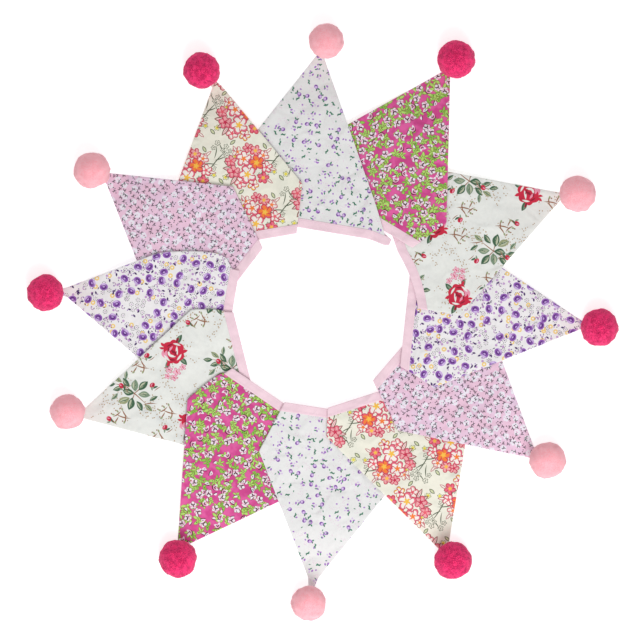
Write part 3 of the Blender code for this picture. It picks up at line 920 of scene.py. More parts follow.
def rose_print():
    """Red roses and buds, grey-green leaves, brown twigs and tan dots on an off-white ground."""
    red, dark_red, pink = (0.56, 0.02, 0.055), (0.27, 0.01, 0.03), (0.78, 0.30, 0.42)
    green, olive, sage = (0.05, 0.12, 0.065), (0.30, 0.33, 0.18), (0.20, 0.28, 0.19)
    brown, tan = (0.27, 0.11, 0.05), (0.42, 0.28, 0.15)
    ground, fill = (0.765, 0.775, 0.74), (0.47, 0.50, 0.36)
    cloth = Cloth("cotton_rose", ground)
    cloud = cloth.mottle((0.68, 0.70, 0.685), 0.05, 3.0, -1.3)
    where, chances = cloth.scatter(2.7, 0.95, 11.0)
    spray = cloth.math("GREATER_THAN", cloud, 0.53)
    grain = cloth.math("MULTIPLY", spray, cloth.chosen(chances[1], 0.0, 0.55))
    dot_at(cloth, where, 0.0, 0.0, 0.75, tan, grain, 0.5)
    leafy = cloth.repeat(74, 100, -31.0, 47.0, 0.0)
    for x, y, turn, long, bend in (
        (0, 0, 215, 17, 1.5), (-5, 4, 140, 8, 1.5), (3, -5, 300, 8, -1.5), (11, 9, 70, 9, 1.5),
        (-13, -12, 260, 7, 2.0),
    ):
        leaf_at(cloth, leafy, x, y, turn, long, 0.5, brown, bend)
    for x, y, turn, long, wide, tint in (
        (-9, 6, 150, 6.4, 3.6, green), (-4, 12, 95, 6.2, 3.5, olive), (3, 6, 60, 5.8, 3.3, green),
        (8, -2, 345, 6.0, 3.5, sage), (6, -10, 300, 6.2, 3.4, green), (-3, -9, 250, 6.0, 3.2, sage),
        (-13, -2, 195, 5.6, 2.6, green), (-17, -10, 215, 5.0, 2.3, olive), (13, 6, 20, 5.4, 2.6, green),
        (9, 15, 95, 5.2, 2.4, green), (18, 13, 40, 5.0, 2.2, olive), (-9, -17, 285, 4.6, 1.9, green),
        (15, 21, 75, 4.6, 2.2, green), (2, 20, 120, 4.4, 2.0, sage), (20, 4, 340, 4.4, 1.9, sage),
    ):
        leaf_at(cloth, leafy, x, y, turn, long, wide, tint, 0.2)
        leaf_at(cloth, leafy, x + 0.4, y + 0.6, turn + 4, long * 0.7, wide * 0.42, fill, 0.25)
        leaf_at(cloth, leafy, x, y, turn, long * 1.05, 0.35, green, 0.2)
        leaf_at(cloth, leafy, x - 0.3, y - 0.4, turn - 30, long * 0.4, 0.3, green)
    rosy = cloth.repeat(74, 100, 0.0, 0.0, 0.0)
    for x, y, turn in ((3, 26, 120), (25, -22, 40), (-20, -42, 200), (-27, 28, 300)):
        dot_at(cloth, rosy, x, y, 2.9, red, None, 2.3, turn)
        leaf_at(cloth, rosy, x + 0.6, y + 0.6, turn + 20, 2.0, 0.55, pink, 0.6)
        leaf_at(cloth, rosy, x - 0.5, y - 1.0, turn + 60, 1.8, 0.45, dark_red, 0.4)
        leaf_at(cloth, rosy, x - 2.6, y - 2.4, turn - 20, 2.8, 1.0, green, 0.4)
        leaf_at(cloth, rosy, x - 3.2, y + 1.2, turn + 50, 2.2, 0.8, sage, 0.4)
        leaf_at(cloth, rosy, x - 4.5, y - 4.0, turn - 10, 4.0, 0.4, brown, 1.2)
    for x, y, turn, long, wide in (
        (-11, -8, 215, 5.5, 2.4), (11, -9, 320, 5.5, 2.4), (-11, 8, 150, 5.0, 2.2),
    ):
        leaf_at(cloth, rosy, x, y, turn, long, wide, green, 0.3)
        leaf_at(cloth, rosy, x + 0.4, y + 0.4, turn, long * 0.7, wide * 0.4, sage, 0.3)
    for x, y, turn, long, wide, tint in (
        (-6.8, 4.2, 50, 5.8, 3.6, red), (0.4, 8.0, 0, 5.8, 3.6, pink), (7.4, 4.2, 310, 5.8, 3.6, red),
        (8.6, -3.0, 260, 5.4, 3.4, red), (2.8, -8.2, 200, 6.0, 3.6, red), (-5.6, -6.6, 150, 5.8, 3.6, red),
        (-9.0, -1.2, 95, 5.2, 3.2, red), (-4.4, 7.4, 30, 4.4, 1.1, ground), (5.2, 6.8, 330, 4.4, 1.3, red),
        (0.0, 0.0, 30, 8.0, 6.6, red), (-3.4, 2.2, 60, 4.2, 1.2, ground), (3.6, 1.8, 120, 4.0, 1.1, pink),
        (0.6, -4.2, 350, 4.6, 1.1, ground), (-0.4, 4.2, 10, 3.6, 1.1, ground),
        (6.6, -5.8, 240, 4.0, 1.0, ground),
        (-6.6, -5.0, 130, 4.0, 1.0, ground), (0.2, -0.4, 40, 2.8, 1.3, dark_red),
        (-2.2, -2.2, 140, 3.2, 0.8, dark_red), (3.4, 3.6, 150, 3.0, 0.8, dark_red),
        (7.6, 1.2, 280, 3.4, 0.8, dark_red),
        (-7.4, 2.4, 70, 3.4, 0.8, dark_red), (9.4, 7.8, 40, 3.2, 1.5, red), (-10.0, 7.0, 140, 3.2, 1.5, red),
        (-2.0, -11.4, 280, 3.4, 1.6, red), (6.4, 9.6, 70, 2.8, 1.2, red),
        (10.6, -7.2, 320, 2.8, 1.2, dark_red),
    ):
        leaf_at(cloth, rosy, x, y, turn, long, wide, tint, 0.35)
    for x, y, turn, size in (
        (-20, 1, 10, 4.4), (-16, 8, 50, 3.8), (-25, 5, 30, 3.6), (-17, -6, 0, 3.4), (-22, 11, 40, 3.2),
    ):
        blossom_at(cloth, rosy, x, y, turn, size, (0.62, 0.08, 0.20), (0.80, 0.46, 0.56), 0.5, 5, 0.55)
        leaf_at(cloth, rosy, x, y, turn, size * 0.5, 0.5, red, 0.6)
    for across, up in ((23, -34), (-7, 36), (16, 20)):
        for x, y, turn, long, bend in (
            (0, -2, 60, 8, 2.0), (4, 3, 110, 5, 1.5), (-2, -4, 165, 5, 2.0), (3, -4, 20, 5, 1.5),
            (-1, 5, 130, 4, 1.0),
        ):
            leaf_at(cloth, rosy, across + x, up + y, turn, long, 0.6, brown, bend)
        for x, y, turn in ((5, 7, 60), (7, 2, 20), (-5, -2, 150), (-3, 7, 110), (8, -3, 0)):
            leaf_at(cloth, rosy, across + x, up + y, turn, 1.7, 0.9, olive, 0.2)
            dot_at(cloth, rosy, across + x + 1.4, up + y + 1.5, 0.7, brown)
    return cloth.finish(0.45, (0.84, 0.85, 0.82))


def violet_print():
    """Round violet roses, yellow rings, dotted wreaths and small dots on a pale lilac ground."""
    violet, deep, light = (0.25, 0.09, 0.40), (0.055, 0.015, 0.12), (0.60, 0.45, 0.74)
    mauve, yellow, grey, curl = (0.46, 0.24, 0.50), (0.82, 0.58, 0.20), (0.16, 0.15, 0.17), (0.44, 0.22, 0.46)
    white = (0.84, 0.83, 0.86)
    cloth = Cloth("cotton_violet", (0.80, 0.78, 0.79))
    for cell, shift, share in ((6.0, 19.0, 1.0), (6.9, 37.0, 0.55)):
        where, chances = cloth.scatter(cell, 0.75, shift)
        dots = cloth.chosen(chances[1], 0.0, 0.30 * share)
        rings = cloth.chosen(chances[1], 0.90 - 0.10 * share, 0.90)
        wreaths = cloth.chosen(chances[1], 0.30, 0.30 + 0.20 * share)
        ovals = cloth.chosen(chances[1], 0.50, 0.50 + 0.16 * share)
        curls = cloth.chosen(chances[1], 0.66, 0.66 + 0.14 * share)
        dot_at(cloth, where, 0.0, 0.0, 1.2, mauve, dots)
        dot_at(cloth, where, 0.1, 0.1, 0.5, light, dots)
        dot_at(cloth, where, 2.1, 1.1, 0.55, deep, dots)
        ring_at(cloth, where, 1.6, 0.45, yellow, rings)
        dot_at(cloth, where, 0.0, 0.0, 0.7, white, rings)
        ring_at(cloth, where, 1.9, 0.24, grey, wreaths, 7)
        dot_at(cloth, where, 0.0, 0.0, 0.5, curl, wreaths)
        leaf_at(cloth, where, 0.0, 0.0, 0, 1.9, 0.9, deep, 0.0, ovals)
        dot_at(cloth, where, 1.7, 1.4, 0.6, violet, ovals)
        leaf_at(cloth, where, 0.0, 0.6, 0, 2.4, 0.45, curl, 3.2, curls)
        dot_at(cloth, where, 1.5, -1.3, 0.7, violet, curls)
        leaf_at(cloth, where, -1.4, -1.2, 60, 0.9, 0.45, deep, 0.0, curls)
    where, chances = cloth.scatter(14.2, 0.5, 53.0)
    roses = cloth.chosen(chances[1], 0.0, 0.93)
    dot_at(cloth, where, 0.0, 0.0, 4.3, light, roses, 3.7)
    dot_at(cloth, where, 0.1, 0.2, 4.0, violet, roses, 3.2)
    leaf_at(cloth, where, 0.2, -2.3, 0, 2.5, 0.8, light, -0.9, roses)
    leaf_at(cloth, where, -1.9, 0.6, 70, 2.0, 0.5, (0.42, 0.22, 0.60), 0.7, roses)
    dot_at(cloth, where, -0.1, 0.5, 2.3, deep, roses, 1.7)
    dot_at(cloth, where, 0.1, 0.2, 1.6, violet, roses, 1.1)
    leaf_at(cloth, where, 0.1, 0.0, 0, 1.3, 0.5, light, 0.6, roses)
    leaf_at(cloth, where, 5.6, 1.2, 70, 1.3, 0.5, deep, 0.3, roses)
    return cloth.finish(0.45, (0.85, 0.84, 0.88))


def daisy_print():
    """White round flowers and small charcoal twigs, close together on a pink ground."""
    white, shade = (0.78, 0.75, 0.82), (0.76, 0.62, 0.76)
    twig, rosy = (0.015, 0.018, 0.025), (0.72, 0.42, 0.60)
    cloth = Cloth("cotton_daisy", (0.77, 0.515, 0.65))
    cloth.mottle((0.75, 0.56, 0.72), 0.08, 4.0, -1.8)
    where, chances = cloth.scatter(9.6, 0.6)
    flowers = cloth.chosen(chances[1], 0.0, 0.9)
    blossom_at(cloth, where, 0.0, 0.0, 0, 3.5, shade, white, 0.22, 5, 0.35, flowers)
    dot_at(cloth, where, 0.2, 0.0, 0.6, rosy, flowers)
    where, chances = cloth.scatter(4.9, 0.8, 23.0)
    twigs = cloth.chosen(chances[1], 0.0, 0.70)
    for x, y, turn, long in (
        (0.0, 0.0, 0, 1.9), (0.9, 0.8, 58, 1.2), (0.7, -0.9, -55, 1.2), (-0.9, 0.8, 120, 1.1),
    ):
        leaf_at(cloth, where, x, y, turn, long, 0.34, twig, 0.0, twigs)
    dots = cloth.chosen(chances[1], 0.70, 1.0)
    dot_at(cloth, where, 0.0, 0.0, 0.6, twig, dots)
    dot_at(cloth, where, 1.7, 0.8, 0.5, twig, dots)
    where, chances = cloth.scatter(6.3, 0.9, 61.0)
    spots = cloth.chosen(chances[1], 0.0, 0.6)
    dot_at(cloth, where, 0.0, 0.0, 0.5, rosy, spots)
    return cloth.finish(0.45, (0.80, 0.62, 0.74))


def blossom_print():
    """Bunches of coral and orange blossoms with outlined twigs and small yellow flowers, on cream."""
    coral, crimson, rim = (0.74, 0.10, 0.14), (0.55, 0.03, 0.08), (0.40, 0.03, 0.06)
    orange, yellow = (0.84, 0.20, 0.04), (0.86, 0.50, 0.07)
    blush, rosy = (0.80, 0.36, 0.38), (0.74, 0.15, 0.22)
    cream, line, leafy = (0.81, 0.79, 0.68), (0.05, 0.075, 0.035), (0.60, 0.64, 0.40)
    white, brown = (0.84, 0.79, 0.73), (0.20, 0.06, 0.04)
    cloth = Cloth("cotton_blossom", cream)
    cloth.mottle((0.72, 0.73, 0.63), 0.04, 3.0, -1.35)
    twigs = cloth.repeat(60, 50, 30.0, 4.0, 0.14)
    for x, y, turn, long, bend in (
        (0, 0, 40, 17, 3.0), (-7, -1, 350, 9, 2.0), (8, 12, 110, 7, 2.0), (2, 9, 70, 7, -2.0),
        (-14, -9, 230, 8, 1.5), (-13, -3, 150, 6, 1.5), (5, 2, 10, 6, -1.5), (12, -14, 60, 7, 2.0),
    ):
        leaf_at(cloth, twigs, x, y, turn, long, 0.48, line, bend)
    for x, y, turn, size in (
        (-17, 2, 0, 3.0), (-10, 7, 30, 3.3), (5, 18, 50, 3.0), (12, 4, 10, 3.3), (-19, -14, 20, 2.9),
        (0, 14, 15, 2.6), (13, 13, 60, 2.9), (-3, -6, 5, 2.8), (-12, -16, 40, 2.8), (17, -8, 25, 2.8),
        (-14, 8, 20, 2.6), (-21, -4, 45, 2.8), (9, 10, 35, 2.5), (16, 8, 0, 2.4), (-7, -11, 30, 2.6),
    ):
        blossom_at(cloth, twigs, x, y, turn, size, line, cream, 0.45, 5, 0.6)
        leaf_at(cloth, twigs, x, y, turn, size * 0.5, 0.35, line, 0.5)
    for x, y, turn, size in ((7, -17, 0, 3.2), (-4, -13, 40, 2.7), (20, 2, 20, 2.8)):
        blossom_at(cloth, twigs, x, y, turn, size, line, (0.76, 0.76, 0.38), 0.45, 5, 0.45)
        dot_at(cloth, twigs, x, y, 1.2, (0.75, 0.62, 0.05))
    for x, y, turn in ((2, -20, 300), (-22, 10, 150), (20, 16, 30), (-9, 14, 110)):
        leaf_at(cloth, twigs, x, y, turn, 3.6, 1.7, line)
        leaf_at(cloth, twigs, x, y, turn, 2.7, 1.0, leafy)
    bunch = cloth.repeat(60, 50, 0.0, 0.0, 0.14)
    for x, y, turn, long in (
        (-17, -4, 195, 6.5), (-19, 2, 165, 5.5), (-15, -10, 225, 6.5), (-18, 7, 140, 5.0),
        (-11, -14, 245, 5.5),
    ):
        leaf_at(cloth, bunch, x, y, turn, long, 2.2, brown)
        leaf_at(cloth, bunch, x, y, turn, long - 1.3, 1.2, white)
        leaf_at(cloth, bunch, x, y, turn, long * 0.8, 0.4, rosy)
    for x, y, turn, size, petal, inner, heart in (
        (-15, 9, 10, 6.0, rosy, blush, coral), (-7, 17, 60, 5.6, white, cream, orange),
        (4, 19, 25, 5.6, rosy, blush, crimson), (18, 9, 40, 6.2, blush, white, orange),
        (19, -3, 5, 6.4, rosy, white, coral), (14, -13, 70, 6.2, coral, rosy, yellow),
        (3, -18, 50, 6.0, yellow, white, crimson), (-9, -14, 30, 6.6, blush, white, coral),
        (-14, -2, 15, 7.0, rosy, blush, crimson), (11, 15, 55, 6.2, coral, blush, yellow),
        (-2, 9, 5, 8.4, rosy, white, orange), (10, 3, 20, 8.2, coral, orange, yellow),
        (-1, -7, 30, 9.8, rosy, white, yellow),
    ):
        blossom_at(cloth, bunch, x, y, turn, size, rim, petal, 0.36, 5, 0.62)
        blossom_at(cloth, bunch, x + 0.3, y + 0.3, turn + 4, size * 0.78, inner, inner, 0.40, 5, 0.2)
        blossom_at(cloth, bunch, x, y, turn + 36, size * 0.36, heart, heart, 0.6, 5, 0.2)
        for side in (20, 95, 165, 240, 310):
            angle = math.radians(turn + side)
            out_x, out_y = x + 0.6 * size * math.cos(angle), y + 0.6 * size * math.sin(angle)
            leaf_at(cloth, bunch, out_x, out_y, turn + side, size * 0.36, 0.45, crimson)
    for x, y, turn in ((24, 13, 30), (25, -6, 340), (-9, 20, 110), (20, -17, 310)):
        leaf_at(cloth, bunch, x, y, turn, 4.0, 1.4, rim)
        leaf_at(cloth, bunch, x, y, turn, 3.1, 0.8, white)
    return cloth.finish(0.45, (0.86, 0.84, 0.76))


PRINTS = {
    "sprig": sprig_print,
    "magenta": magenta_print,
    "rose": rose_print,
    "violet": violet_print,
    "daisy": daisy_print,
    "blossom": blossom_print,
}


def tape_cotton(colour):
    """Plain pale pink cotton, with painted shade on its rolled end and along its stitch line."""
    cloth = Cloth("binding_cotton", tuple(colour))
    cloth.mottle((0.78, 0.56, 0.64), 0.06, 1.6, -0.5)
    # Painted shade darkens the rolled end.
    cloth.paint((0.70, 0.38, 0.50), cloth.math("MULTIPLY", cloth.kept("rolled_end_shade"), 0.6))
    # The seam tone here is painted shade along the stitch line.
    return cloth.finish(0.40, (0.78, 0.58, 0.68))


def thread_material(colour):
    """The tape's sewing thread, a little lighter than the tape."""
    material, tree, shader = new_material("binding_thread")
    twist = tree.noise(tree.add("ShaderNodeTexCoord", give="Object"), 900.0)
    toned = tree.scale(tuple(colour), tree.math("MULTIPLY_ADD", twist, 0.3, 0.85))
    tree.fill(shader, Base_Color=toned, Roughness=0.6)
    return material


def wool_material(name, colour, root, light, grain):
    """Cut wool with painted shade darker towards the roots and a faint painted glow; each end of yarn a
    little different and some of them lighter.
    """
    material, tree, shader = new_material(name)
    tuft = tree.kept("tuft")
    # The root colour is painted shade: each strand darkens from its tip down to the core, as if shaded by the
    # others.
    mixed = tree.mix(tree.math("POWER", tree.kept("tip"), 0.45), root, colour)
    mixed = tree.mix(tree.math("MULTIPLY_ADD", tuft, 1.5, -0.6, clamp=True), mixed, light)
    cloud = tree.noise(tree.add("ShaderNodeTexCoord", give="Object"), 240.0, 4.0)
    tone = tree.math("MULTIPLY_ADD", tuft, 0.12 * grain, 1.0 - 0.56 * grain)
    toned = tree.scale(mixed, tree.math("MULTIPLY_ADD", cloud, grain, tone))
    # The emission is a faint painted glow, standing in for light scattered through the wool.
    tree.fill(
        shader, Base_Color=toned, Emission_Color=toned, Emission_Strength=0.22, Roughness=0.95,
        Specular_IOR_Level=0.15, Sheen_Weight=0.15, Sheen_Roughness=0.6, Normal=tree.bump(cloud, 0.3, 0.0002),
    )
    return material


def geometry_tree(name, inputs):
    """A new Geometry Nodes tree with named inputs, as its helper and its sockets by name."""
    group = bpy.data.node_groups.new(name, "GeometryNodeTree")
    group.interface.new_socket("Geometry", in_out="INPUT", socket_type="NodeSocketGeometry")
    for label, kind in inputs:
        group.interface.new_socket(label, in_out="INPUT", socket_type=kind)
    group.interface.new_socket("Geometry", in_out="OUTPUT", socket_type="NodeSocketGeometry")
    tree = Tree(group)
    given = group.nodes.new("NodeGroupInput")
    return group, tree, given.outputs


def close_tree(group, tree, geometry, material):
    """Ends a tree in its material and its output."""
    tree_end = group.nodes.new("GeometryNodeSetMaterial")
    tree.feed(tree_end.inputs["Geometry"], geometry)
    tree.feed(tree_end.inputs["Material"], material)
    output = group.nodes.new("NodeGroupOutput")
    tree.feed(output.inputs[0], tree_end.outputs[0])


def grow(source, name, group, values):
    """Runs a tree on a mesh and gives the result as a plain object's mesh."""
    carrier = bpy.data.objects.new(name + "_source", source)
    bpy.context.scene.collection.objects.link(carrier)
    modifier = carrier.modifiers.new("grow", "NODES")
    modifier.node_group = group
    keys = {item.name: item.identifier for item in group.interface.items_tree if item.in_out == "INPUT"}
    for label, value in values.items():
        modifier[keys[label]] = value
    depsgraph = bpy.context.evaluated_depsgraph_get()
    mesh = bpy.data.meshes.new_from_object(carrier.evaluated_get(depsgraph), depsgraph=depsgraph)
    mesh.name = name
    carrier.modifiers.remove(modifier)
    bpy.data.objects.remove(carrier)
    return mesh


def strand_tree():
    """Grows short three-sided ends of yarn all over a ball's core."""
    inputs = (
        ("Spacing", "NodeSocketFloat"), ("Length", "NodeSocketFloat"), ("Thickness", "NodeSocketFloat"),
        ("Lean", "NodeSocketFloat"), ("Floor", "NodeSocketFloat"), ("Seed", "NodeSocketInt"),
        ("Material", "NodeSocketMaterial"),
    )
    group, tree, given = geometry_tree("wool_strands", inputs)
    spread = group.nodes.new("GeometryNodeDistributePointsOnFaces")
    spread.distribute_method = "POISSON"
    tree.feed(spread.inputs["Mesh"], given["Geometry"])
    tree.feed(spread.inputs["Distance Min"], given["Spacing"])
    spread.inputs["Density Max"].default_value = 6.0e6
    tree.feed(spread.inputs["Seed"], given["Seed"])
    cone = group.nodes.new("GeometryNodeMeshCone")
    cone.inputs["Vertices"].default_value = 3
    tree.feed(cone.inputs["Radius Top"], tree.math("MULTIPLY", given["Thickness"], 0.56))
    tree.feed(cone.inputs["Radius Bottom"], tree.math("MULTIPLY", given["Thickness"], 0.36))
    tree.feed(cone.inputs["Depth"], given["Length"])
    place = group.nodes.new("GeometryNodeInputPosition")
    share = tree.math("DIVIDE", tree.parts(place.outputs[0])[2], given["Length"], clamp=True)
    tipped = store_value(group, tree, cone.outputs["Mesh"], "tip", "POINT", share)
    lean = group.nodes.new("FunctionNodeRandomValue")
    lean.data_type = "FLOAT_VECTOR"
    less = tree.math("MULTIPLY", given["Lean"], -1.0)
    vectors = [s for s in lean.inputs if s.type == "VECTOR"]
    tree.feed(vectors[0], tree.vector(less, less, less))
    tree.feed(vectors[1], tree.vector(*[given["Lean"]] * 3))
    tree.feed(lean.inputs["Seed"], given["Seed"])
    lean_turn = group.nodes.new("FunctionNodeEulerToRotation")
    tree.feed(lean_turn.inputs[0], [s for s in lean.outputs if s.type == "VECTOR"][0])
    turn = group.nodes.new("FunctionNodeRotateRotation")
    turn.rotation_space = "LOCAL"
    tree.feed(turn.inputs[0], spread.outputs["Rotation"])
    tree.feed(turn.inputs[1], lean_turn.outputs[0])
    size = random_value(group, tree, 0.80, 1.06, given["Seed"])
    strew = group.nodes.new("GeometryNodeInstanceOnPoints")
    tree.feed(strew.inputs["Points"], spread.outputs["Points"])
    tree.feed(strew.inputs["Instance"], tipped)
    tree.feed(strew.inputs["Rotation"], turn.outputs[0])
    tree.feed(strew.inputs["Scale"], tree.vector(1.0, 1.0, size))
    chance = random_value(group, tree, 0.0, 1.0, tree.math("ADD", given["Seed"], 7.0))
    tufts = store_value(group, tree, strew.outputs[0], "tuft", "INSTANCE", chance)
    real = group.nodes.new("GeometryNodeRealizeInstances")
    tree.feed(real.inputs[0], tufts)
    core = store_value(group, tree, given["Geometry"], "tip", "POINT", 0.0)
    join = group.nodes.new("GeometryNodeJoinGeometry")
    tree.feed(join.inputs[0], core)
    tree.feed(join.inputs[0], real.outputs[0])
    settle = group.nodes.new("GeometryNodeSetPosition")
    tree.feed(settle.inputs["Geometry"], join.outputs[0])
    x, y, z = tree.parts(group.nodes.new("GeometryNodeInputPosition").outputs[0])
    level = tree.vector(x, y, tree.math("MAXIMUM", z, given["Floor"]))
    tree.feed(settle.inputs["Position"], level)
    close_tree(group, tree, settle.outputs[0], given["Material"])
    return group


def store_value(group, tree, geometry, name, domain, value):
    """Keeps a number on a geometry under a name, for the material to read."""
    store = group.nodes.new("GeometryNodeStoreNamedAttribute")
    store.data_type = "FLOAT"
    store.domain = domain
    tree.feed(store.inputs["Geometry"], geometry)
    tree.feed(store.inputs["Name"], name)
    tree.feed([s for s in store.inputs if s.name == "Value" and s.enabled][0], value)
    return store.outputs[0]


def random_value(group, tree, low, high, seed):
    """A random number for each instance."""
    chance = group.nodes.new("FunctionNodeRandomValue")
    chance.data_type = "FLOAT"
    values = [s for s in chance.inputs if s.enabled and s.type == "VALUE"]
    values[0].default_value = low
    values[1].default_value = high
    tree.feed(chance.inputs["Seed"], seed)
    return [s for s in chance.outputs if s.enabled][0]


def stitch_tree():
    """Sets short stitches end to end along the sewing lines."""
    inputs = (
        ("Pitch", "NodeSocketFloat"), ("Length", "NodeSocketFloat"), ("Thickness", "NodeSocketFloat"),
        ("Material", "NodeSocketMaterial"),
    )
    group, tree, given = geometry_tree("tape_stitches", inputs)
    line = group.nodes.new("GeometryNodeMeshToCurve")
    tree.feed(line.inputs["Mesh"], given["Geometry"])
    even = group.nodes.new("GeometryNodeResampleCurve")
    even.mode = "LENGTH"
    tree.feed(even.inputs["Curve"], line.outputs[0])
    tree.feed(even.inputs["Length"], given["Pitch"])
    tangent = group.nodes.new("GeometryNodeInputTangent")
    align = group.nodes.new("FunctionNodeAlignRotationToVector")
    align.axis = "X"
    tree.feed(align.inputs["Vector"], tangent.outputs[0])
    bead = group.nodes.new("GeometryNodeMeshIcoSphere")
    bead.inputs["Radius"].default_value = 0.5
    bead.inputs["Subdivisions"].default_value = 1
    strew = group.nodes.new("GeometryNodeInstanceOnPoints")
    tree.feed(strew.inputs["Points"], even.outputs[0])
    tree.feed(strew.inputs["Instance"], bead.outputs["Mesh"])
    tree.feed(strew.inputs["Rotation"], align.outputs[0])
    tree.feed(strew.inputs["Scale"], tree.vector(given["Length"], given["Thickness"], given["Thickness"]))
    real = group.nodes.new("GeometryNodeRealizeInstances")
    tree.feed(real.inputs[0], strew.outputs[0])
    close_tree(group, tree, real.outputs[0], given["Material"])
    return group


def ball_core(index, depth):
    """The uneven trimmed form of one ball, less the length of its strands."""
    flag = FLAGS[index]
    body = bmesh.new()
    bmesh.ops.create_icosphere(body, subdivisions=4, radius=1.0)
    centre = Vector((flag.ball_x, flag.ball_y, BALL_CENTRE * flag.ball_r))
    for vert in body.verts:
        direction = vert.co.normalized()
        lump = noise.noise(direction * 2.8 + Vector((7.3 * index, 0.0, 0.0)))
        lump += 0.5 * noise.noise(direction * 5.0 + Vector((0.0, 5.1 * index, 0.0)))
        reach = flag.ball_r * (1.0 + 0.085 * lump) - depth
        place = centre + reach * direction
        place.z = max(place.z, 0.3)
        vert.co = place * MM
    mesh = bpy.data.meshes.new("ball_core")
    body.to_mesh(mesh)
    body.free()
    mesh.shade_smooth()
    return mesh


def outward_normals(mesh, flag):
    """Shades the strands mostly as one ball, as light passes from strand to strand in cut wool."""
    mesh.shade_smooth()
    count = len(mesh.vertices)
    places = np.empty(3 * count, dtype=np.float32)
    mesh.vertices.foreach_get("co", places)
    own = np.empty(3 * count, dtype=np.float32)
    mesh.vertices.foreach_get("normal", own)
    outward = places.reshape(-1, 3) / MM - (flag.ball_x, flag.ball_y, BALL_CENTRE * flag.ball_r)
    outward = outward / np.maximum(np.linalg.norm(outward, axis=1, keepdims=True), 1e-6)
    blend = OUTWARD_SHARE * outward + (1.0 - OUTWARD_SHARE) * own.reshape(-1, 3)
    blend = blend / np.maximum(np.linalg.norm(blend, axis=1, keepdims=True), 1e-6)
    mesh.normals_split_custom_set_from_vertices(blend.tolist())


class ClothSettings(bpy.types.PropertyGroup):
    """Sizes of the flags' cloth."""

    thickness: bpy.props.FloatProperty(
        name="Cloth thickness", description="The two layers of a flag pressed together",
        default=0.0006, min=0.0002, max=0.001, precision=5, subtype="DISTANCE", unit="LENGTH",
    )


class TapeSettings(bpy.types.PropertyGroup):
    """Sizes and colour of the binding tape and its sewing."""

    layer: bpy.props.FloatProperty(
        name="Tape layer", description="Thickness of one layer of the folded tape",
        default=0.0003, min=0.0001, max=0.0005, precision=5, subtype="DISTANCE", unit="LENGTH",
    )
    pitch: bpy.props.FloatProperty(
        name="Stitch pitch", description="Distance from stitch to stitch",
        default=0.0028, min=0.001, max=0.006, precision=5, subtype="DISTANCE", unit="LENGTH",
    )
    colour: bpy.props.FloatVectorProperty(
        name="Tape colour", description="Colour of the tape's cotton", subtype="COLOR",
        size=3, min=0.0, max=1.0, default=(0.87, 0.65, 0.72),
    )


class WoolSettings(bpy.types.PropertyGroup):
    """Sizes and colours of the balls' cut wool."""

    spacing: bpy.props.FloatProperty(
        name="Strand spacing", description="Least distance between two ends of yarn",
        default=0.00062, min=0.0004, max=0.003, precision=5, subtype="DISTANCE", unit="LENGTH",
    )
    length: bpy.props.FloatProperty(
        name="Strand length", description="How far the ends of yarn stand out of the core",
        default=0.0014, min=0.001, max=0.008, precision=5, subtype="DISTANCE", unit="LENGTH",
    )
    thickness: bpy.props.FloatProperty(
        name="Strand thickness", description="Thickness of one end of yarn",
        default=0.0010, min=0.0002, max=0.002, precision=5, subtype="DISTANCE", unit="LENGTH",
    )
    pale: bpy.props.FloatVectorProperty(
        name="Pale wool", description="Colour of the pale balls", subtype="COLOR",
        size=3, min=0.0, max=1.0, default=(0.97, 0.49, 0.545),
    )
    hot: bpy.props.FloatVectorProperty(
        name="Hot pink wool", description="Colour of the hot pink balls", subtype="COLOR",
        size=3, min=0.0, max=1.0, default=(0.79, 0.030, 0.16),
    )


class StageSettings(bpy.types.PropertyGroup):
    """The floor, the light and the camera."""

    view_width: bpy.props.FloatProperty(
        name="View width", description="How much of the floor the camera takes in",
        default=0.640, min=0.1, max=3.0, subtype="DISTANCE", unit="LENGTH",
    )
    floor_glow: bpy.props.FloatProperty(
        name="Floor glow", description="Strength of the light from the floor itself", default=0.50, min=0.0,
    )
    sky: bpy.props.FloatProperty(
        name="Sky light", description="Strength of the even light from all round", default=0.64, min=0.0,
    )
    lamp: bpy.props.FloatProperty(
        name="Lamp light", description="Power of the soft lamp in watts", default=23.0, min=0.0,
    )


class BUNTING_OT_flags(bpy.types.Operator):
    """Make the twelve printed flags"""

    bl_idname = "bunting.flags"
    bl_label = "Make flags"

    def execute(self, context):
        half_thick = context.scene.bunting_cloth.thickness / MM / 2
        cottons = {name: make() for name, make in PRINTS.items()}
        for index, flag in enumerate(FLAGS):
            node = f"flag_{index + 1:02d}"
            mesh = flag_mesh(index, half_thick)
            piece = piece_object("bunting_" + node, mesh, cottons[flag.print])
            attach(piece, "root")
            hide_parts(node)
        return {"FINISHED"}


class BUNTING_OT_tape(bpy.types.Operator):
    """Make the folded binding tape and its stitches"""

    bl_idname = "bunting.tape"
    bl_label = "Make tape"

    def execute(self, context):
        settings = context.scene.bunting_tape
        layer = settings.layer / MM
        mesh, run = tape_mesh(layer)
        piece = piece_object("bunting_binding", mesh, tape_cotton(settings.colour))
        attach(piece, "root")
        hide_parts("binding")
        values = {
            "Pitch": settings.pitch, "Length": 0.76 * settings.pitch, "Thickness": 0.00034,
            "Material": thread_material(settings.colour),
        }
        stitches = grow(stitch_path(layer), "bunting_stitches", stitch_tree(), values)
        sewing = piece_object("bunting_stitches", stitches, values["Material"])
        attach(sewing, "root")
        return {"FINISHED"}


